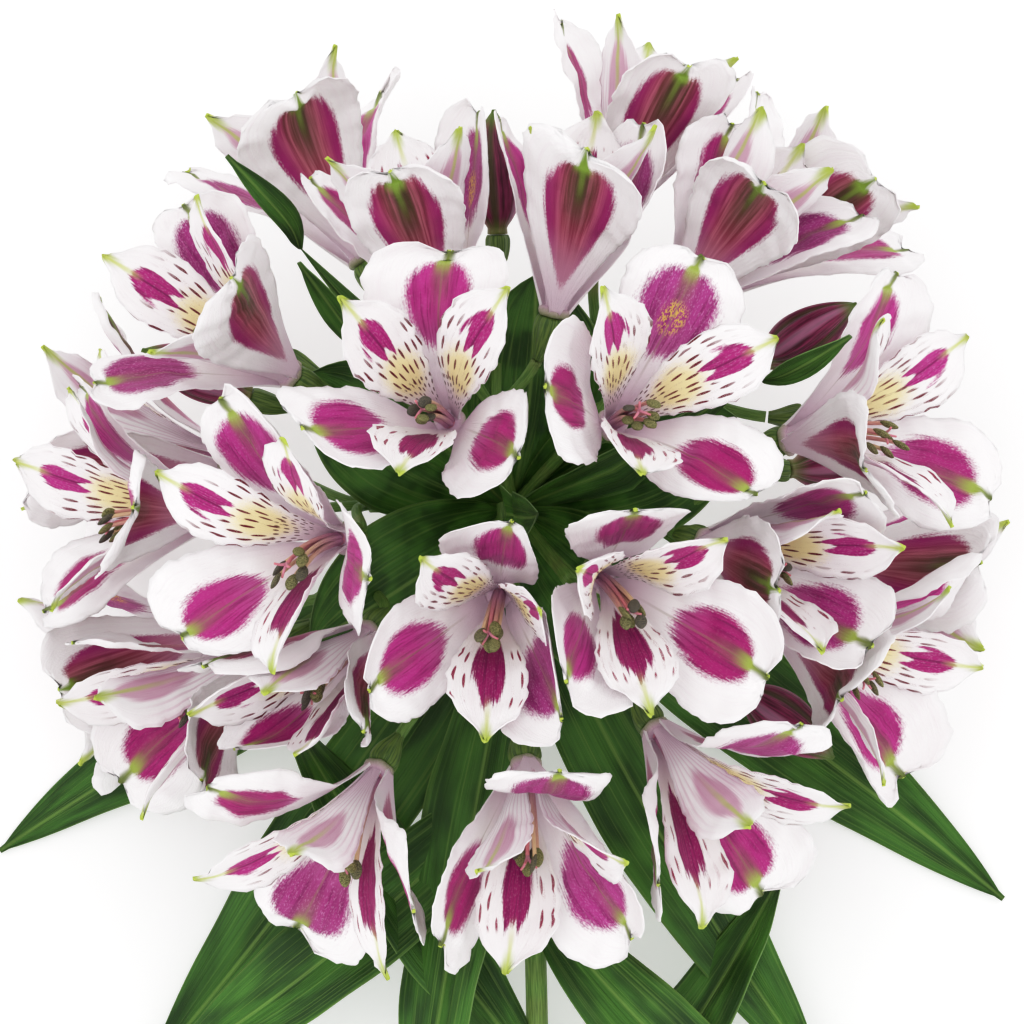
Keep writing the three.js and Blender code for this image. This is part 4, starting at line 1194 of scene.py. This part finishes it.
def add_bract(piece, bract, kind, walls, draw):
    """A bract between the flowers, or with its own kind a leaf of the whorl."""
    axis = direction_of(bract)
    across = turned(unit(np.cross(axis, FACING)), axis, bract.turn)
    normal = np.cross(across, axis)
    length = bract.length + kind["tip_beyond"]
    s, t = across_and_along(BRACT_CELLS)
    half = outline({**kind, "width": bract.width}, t)
    rise = kind["arch"] * np.sin(math.pi * t) + kind["cup"] * half * s * s
    rise = rise + fine_waves(LEAF_FORM.bract, s, t, half, 3 * draw)
    points = UMBEL + axis * (kind["start"] + t * length)[..., None]
    points = points + across * (s * half)[..., None] + normal * rise[..., None]
    beyond = (t * length > RAY.length)[..., None]
    points = np.where(beyond, keep_inside(walls, points, WALL_GAP), points)
    add_green(piece, points, (s, t), half, length, LEAF_FORM.bract, (draw, draw))


def add_pedicel(piece, heading, stand, swelling, draw):
    """The stalk from a ray's fork to a flower or bud, with its ribbed ovary."""
    fork = UMBEL + heading * RAY.length
    top = stand.seat - stand.axis * TOUCH_GAP
    bends = [fork, fork + heading * PEDICEL.lead, top - stand.axis * PEDICEL.approach, top]
    t = np.linspace(0, 1, STALK.rings)
    curve = bezier(bends, t)
    split = 1 - OVARY.length / np.linalg.norm(np.diff(curve, axis=0), axis=1).sum()
    stalk = t <= split + STALK.past
    radii = lerp(PEDICEL.radius, PEDICEL.top_radius, t[stalk]) * STALK.slim
    add_tube(piece, curve[stalk], radii, STALK.sides, STALK_SKIN, draw)
    u = np.linspace(0, 1, OVARY_FORM.rings)
    body = bezier(bends, split + (1 - split) * u)
    foot, belly = PEDICEL.top_radius * OVARY_FORM.foot, OVARY.radius * swelling
    radii = lerp(foot, belly, np.power(np.sin(u * math.pi / 2), 1.3))
    radii = radii * (1 + OVARY_FORM.belly * np.sin(math.pi * u) - OVARY_FORM.neck * smooth(0.9, 1.0, u))
    ribs = dict(ribs=OVARY_FORM.ribs, rib_depth=OVARY_FORM.rib)
    add_tube(piece, body, radii, OVARY_FORM.sides, OVARY_SKIN, draw, **ribs)


def add_stem(piece):
    """The main stalk with a joint at each leaf, and the swelling that carries the rays."""
    distances = np.linspace(-STEM.cut_back, STEM.length + STEM_FORM.past, STEM_FORM.rings)
    share = (distances + STEM.cut_back) / (STEM.length + STEM.cut_back)
    radii = lerp(STEM.radius, STEM.top_radius, share) * math.cos(math.pi / STEM.sides)
    for leaf in LEAVES:
        radii = radii * (1 + STEM_FORM.joint * bell(distances - leaf.at, STEM_FORM.joint_length))
    line = np.array([stem_point(distance) for distance in distances])
    ribs = dict(ribs=STEM_FORM.ribs, rib_depth=STEM_FORM.rib)
    add_tube(piece, line, radii, STEM_FORM.sides, STALK_SKIN, STEM_FORM.draw, **ribs)
    u = np.linspace(0, 1, KNOB_FORM.rings)
    knob = UMBEL + POLE * lerp(-KNOB.below, KNOB.above, u)[:, None]
    radii = lerp(STEM.top_radius, KNOB.radius, np.sin(u * math.pi * 0.62))
    radii = radii * (1 - KNOB_FORM.waist * smooth(0.7, 1, u))
    ribs = dict(ribs=KNOB_FORM.ribs, rib_depth=KNOB_FORM.rib)
    add_tube(piece, knob, radii, KNOB_FORM.sides, STALK_SKIN, KNOB_FORM.draw, **ribs)


def add_ray(piece, ray, heading):
    """A ray of the umbel, swollen at its fork."""
    t = np.linspace(0, 1, RAY_FORM.rings)[:, None]
    line = UMBEL + heading * lerp(1, RAY.length + RAY.past, t)
    radii = lerp(RAY.radius, RAY.top_radius, t[:, 0]) * RAY_FORM.slim
    radii = radii * (1 + RAY_FORM.fork * smooth(0.8, 1.0, t[:, 0]))
    add_tube(piece, line, radii, RAY_FORM.sides, STALK_SKIN, drawn(ray, 95))


def make_leafy_stem():
    piece = Piece("stem_and_leaves")
    add_stem(piece)
    headings = {}
    for ray in sorted({place.ray for place in FLOWERS}):
        headings[ray] = unit(sum(direction_of(place) for place in FLOWERS if place.ray == ray))
    for ray, heading in headings.items():
        add_ray(piece, ray, heading)
    for i, place in enumerate(FLOWERS):
        add_pedicel(piece, headings[place.ray], flower_stands[i], 1, drawn(i, 96))
    for i, place in enumerate(BUDS):
        add_pedicel(piece, headings[place.ray], bud_stands[i], OVARY.bud_share, drawn(i, 97))
    for i, leaf in enumerate(LEAVES):
        add_leaf(piece, leaf, i)
    for i, bract in enumerate(BRACTS):
        add_bract(piece, bract, BRACT, walls_of(len(FLOWERS) + len(BUDS) + i), drawn(i, 98))
    for i, bract in enumerate(COLLAR):
        add_bract(piece, bract, COLLAR_LEAF, [], drawn(i, 99))
    for points in piece.points:
        points[:, 2] = np.maximum(points[:, 2], 0.0)
    piece.finish("leafy_stem", slot="greens")


make_leafy_stem()
for number in range(len(FLOWERS)):
    make_flower(number)
for number in range(len(BUDS)):
    make_bud(number)

# ---- Floor, light and camera (metres, degrees and watts) ----

VIEW = Table(elevation=75, distance=1.3, width=0.236, aim=(0.0, 0.2895, 0.062))
PURE_WHITE = (1, 1, 1, 1)
FLOOR_HALF = 2.5
FLOOR_LOOK = {
    "Base Color": (0.85, 0.85, 0.85, 1), "Roughness": 0.9, "Specular IOR Level": 0.1,
    "Emission Color": PURE_WHITE, "Emission Strength": 0.27,
}
KEY = dict(place=(-0.3, -0.04, 1.25), size=0.8, watts=1.5)
FILL = dict(place=(0.75, 0.4, 1.0), size=0.9, watts=0.6)
SURROUND = 0.96
TONE_CURVE = ((0.1, 0.093), (0.4, 0.47), (0.65, 0.745))


def make_floor():
    """Pale paper that glows a little, so that it stays near white in the shade of the head."""
    mesh = bpy.data.meshes.new("floor")
    corners = [(-1, -1), (1, -1), (1, 1), (-1, 1)]
    mesh.from_pydata([(x * FLOOR_HALF, y * FLOOR_HALF, 0) for x, y in corners], [], [(0, 1, 2, 3)])
    material = bpy.data.materials.new("floor_paper")
    material.use_nodes = True
    for name, value in FLOOR_LOOK.items():
        material.node_tree.nodes["Principled BSDF"].inputs[name].default_value = value
    mesh.materials.append(material)
    floor = put_in_scene("floor", mesh)


def make_light(name, place, size, watts):
    light = bpy.data.lights.new(name, "AREA")
    light.shape, light.size, light.energy = "DISK", size, watts
    lamp = put_in_scene(name, light)
    lamp.location = place
    lamp.rotation_euler = (Vector(VIEW.aim) - Vector(place)).to_track_quat("-Z", "Y").to_euler()


def make_surround():
    world = bpy.data.worlds.new("studio")
    world.use_nodes = True
    background = world.node_tree.nodes["Background"]
    background.inputs["Color"].default_value = PURE_WHITE
    background.inputs["Strength"].default_value = SURROUND
    bpy.context.scene.world = world


def set_tone():
    """A mild curve like a camera's: a little darker in the darks and brighter in the lights."""
    tone = bpy.context.scene.view_settings
    tone.view_transform = "Standard"
    tone.use_curve_mapping = True
    for x, y in TONE_CURVE:
        tone.curve_mapping.curves[3].points.new(x, y)
    tone.curve_mapping.update()


def make_camera():
    angle = math.radians(VIEW.elevation)
    back = Vector((0, -math.cos(angle), math.sin(angle)))
    data = bpy.data.cameras.new("camera")
    data.lens = data.sensor_width * VIEW.distance / VIEW.width
    camera = put_in_scene("camera", data)
    camera.location = Vector(VIEW.aim) + back * VIEW.distance
    camera.rotation_euler = (-back).to_track_quat("-Z", "Y").to_euler()
    bpy.context.scene.camera = camera


make_floor()
make_light("key", **KEY)
make_light("fill", **FILL)
make_surround()
set_tone()
make_camera()
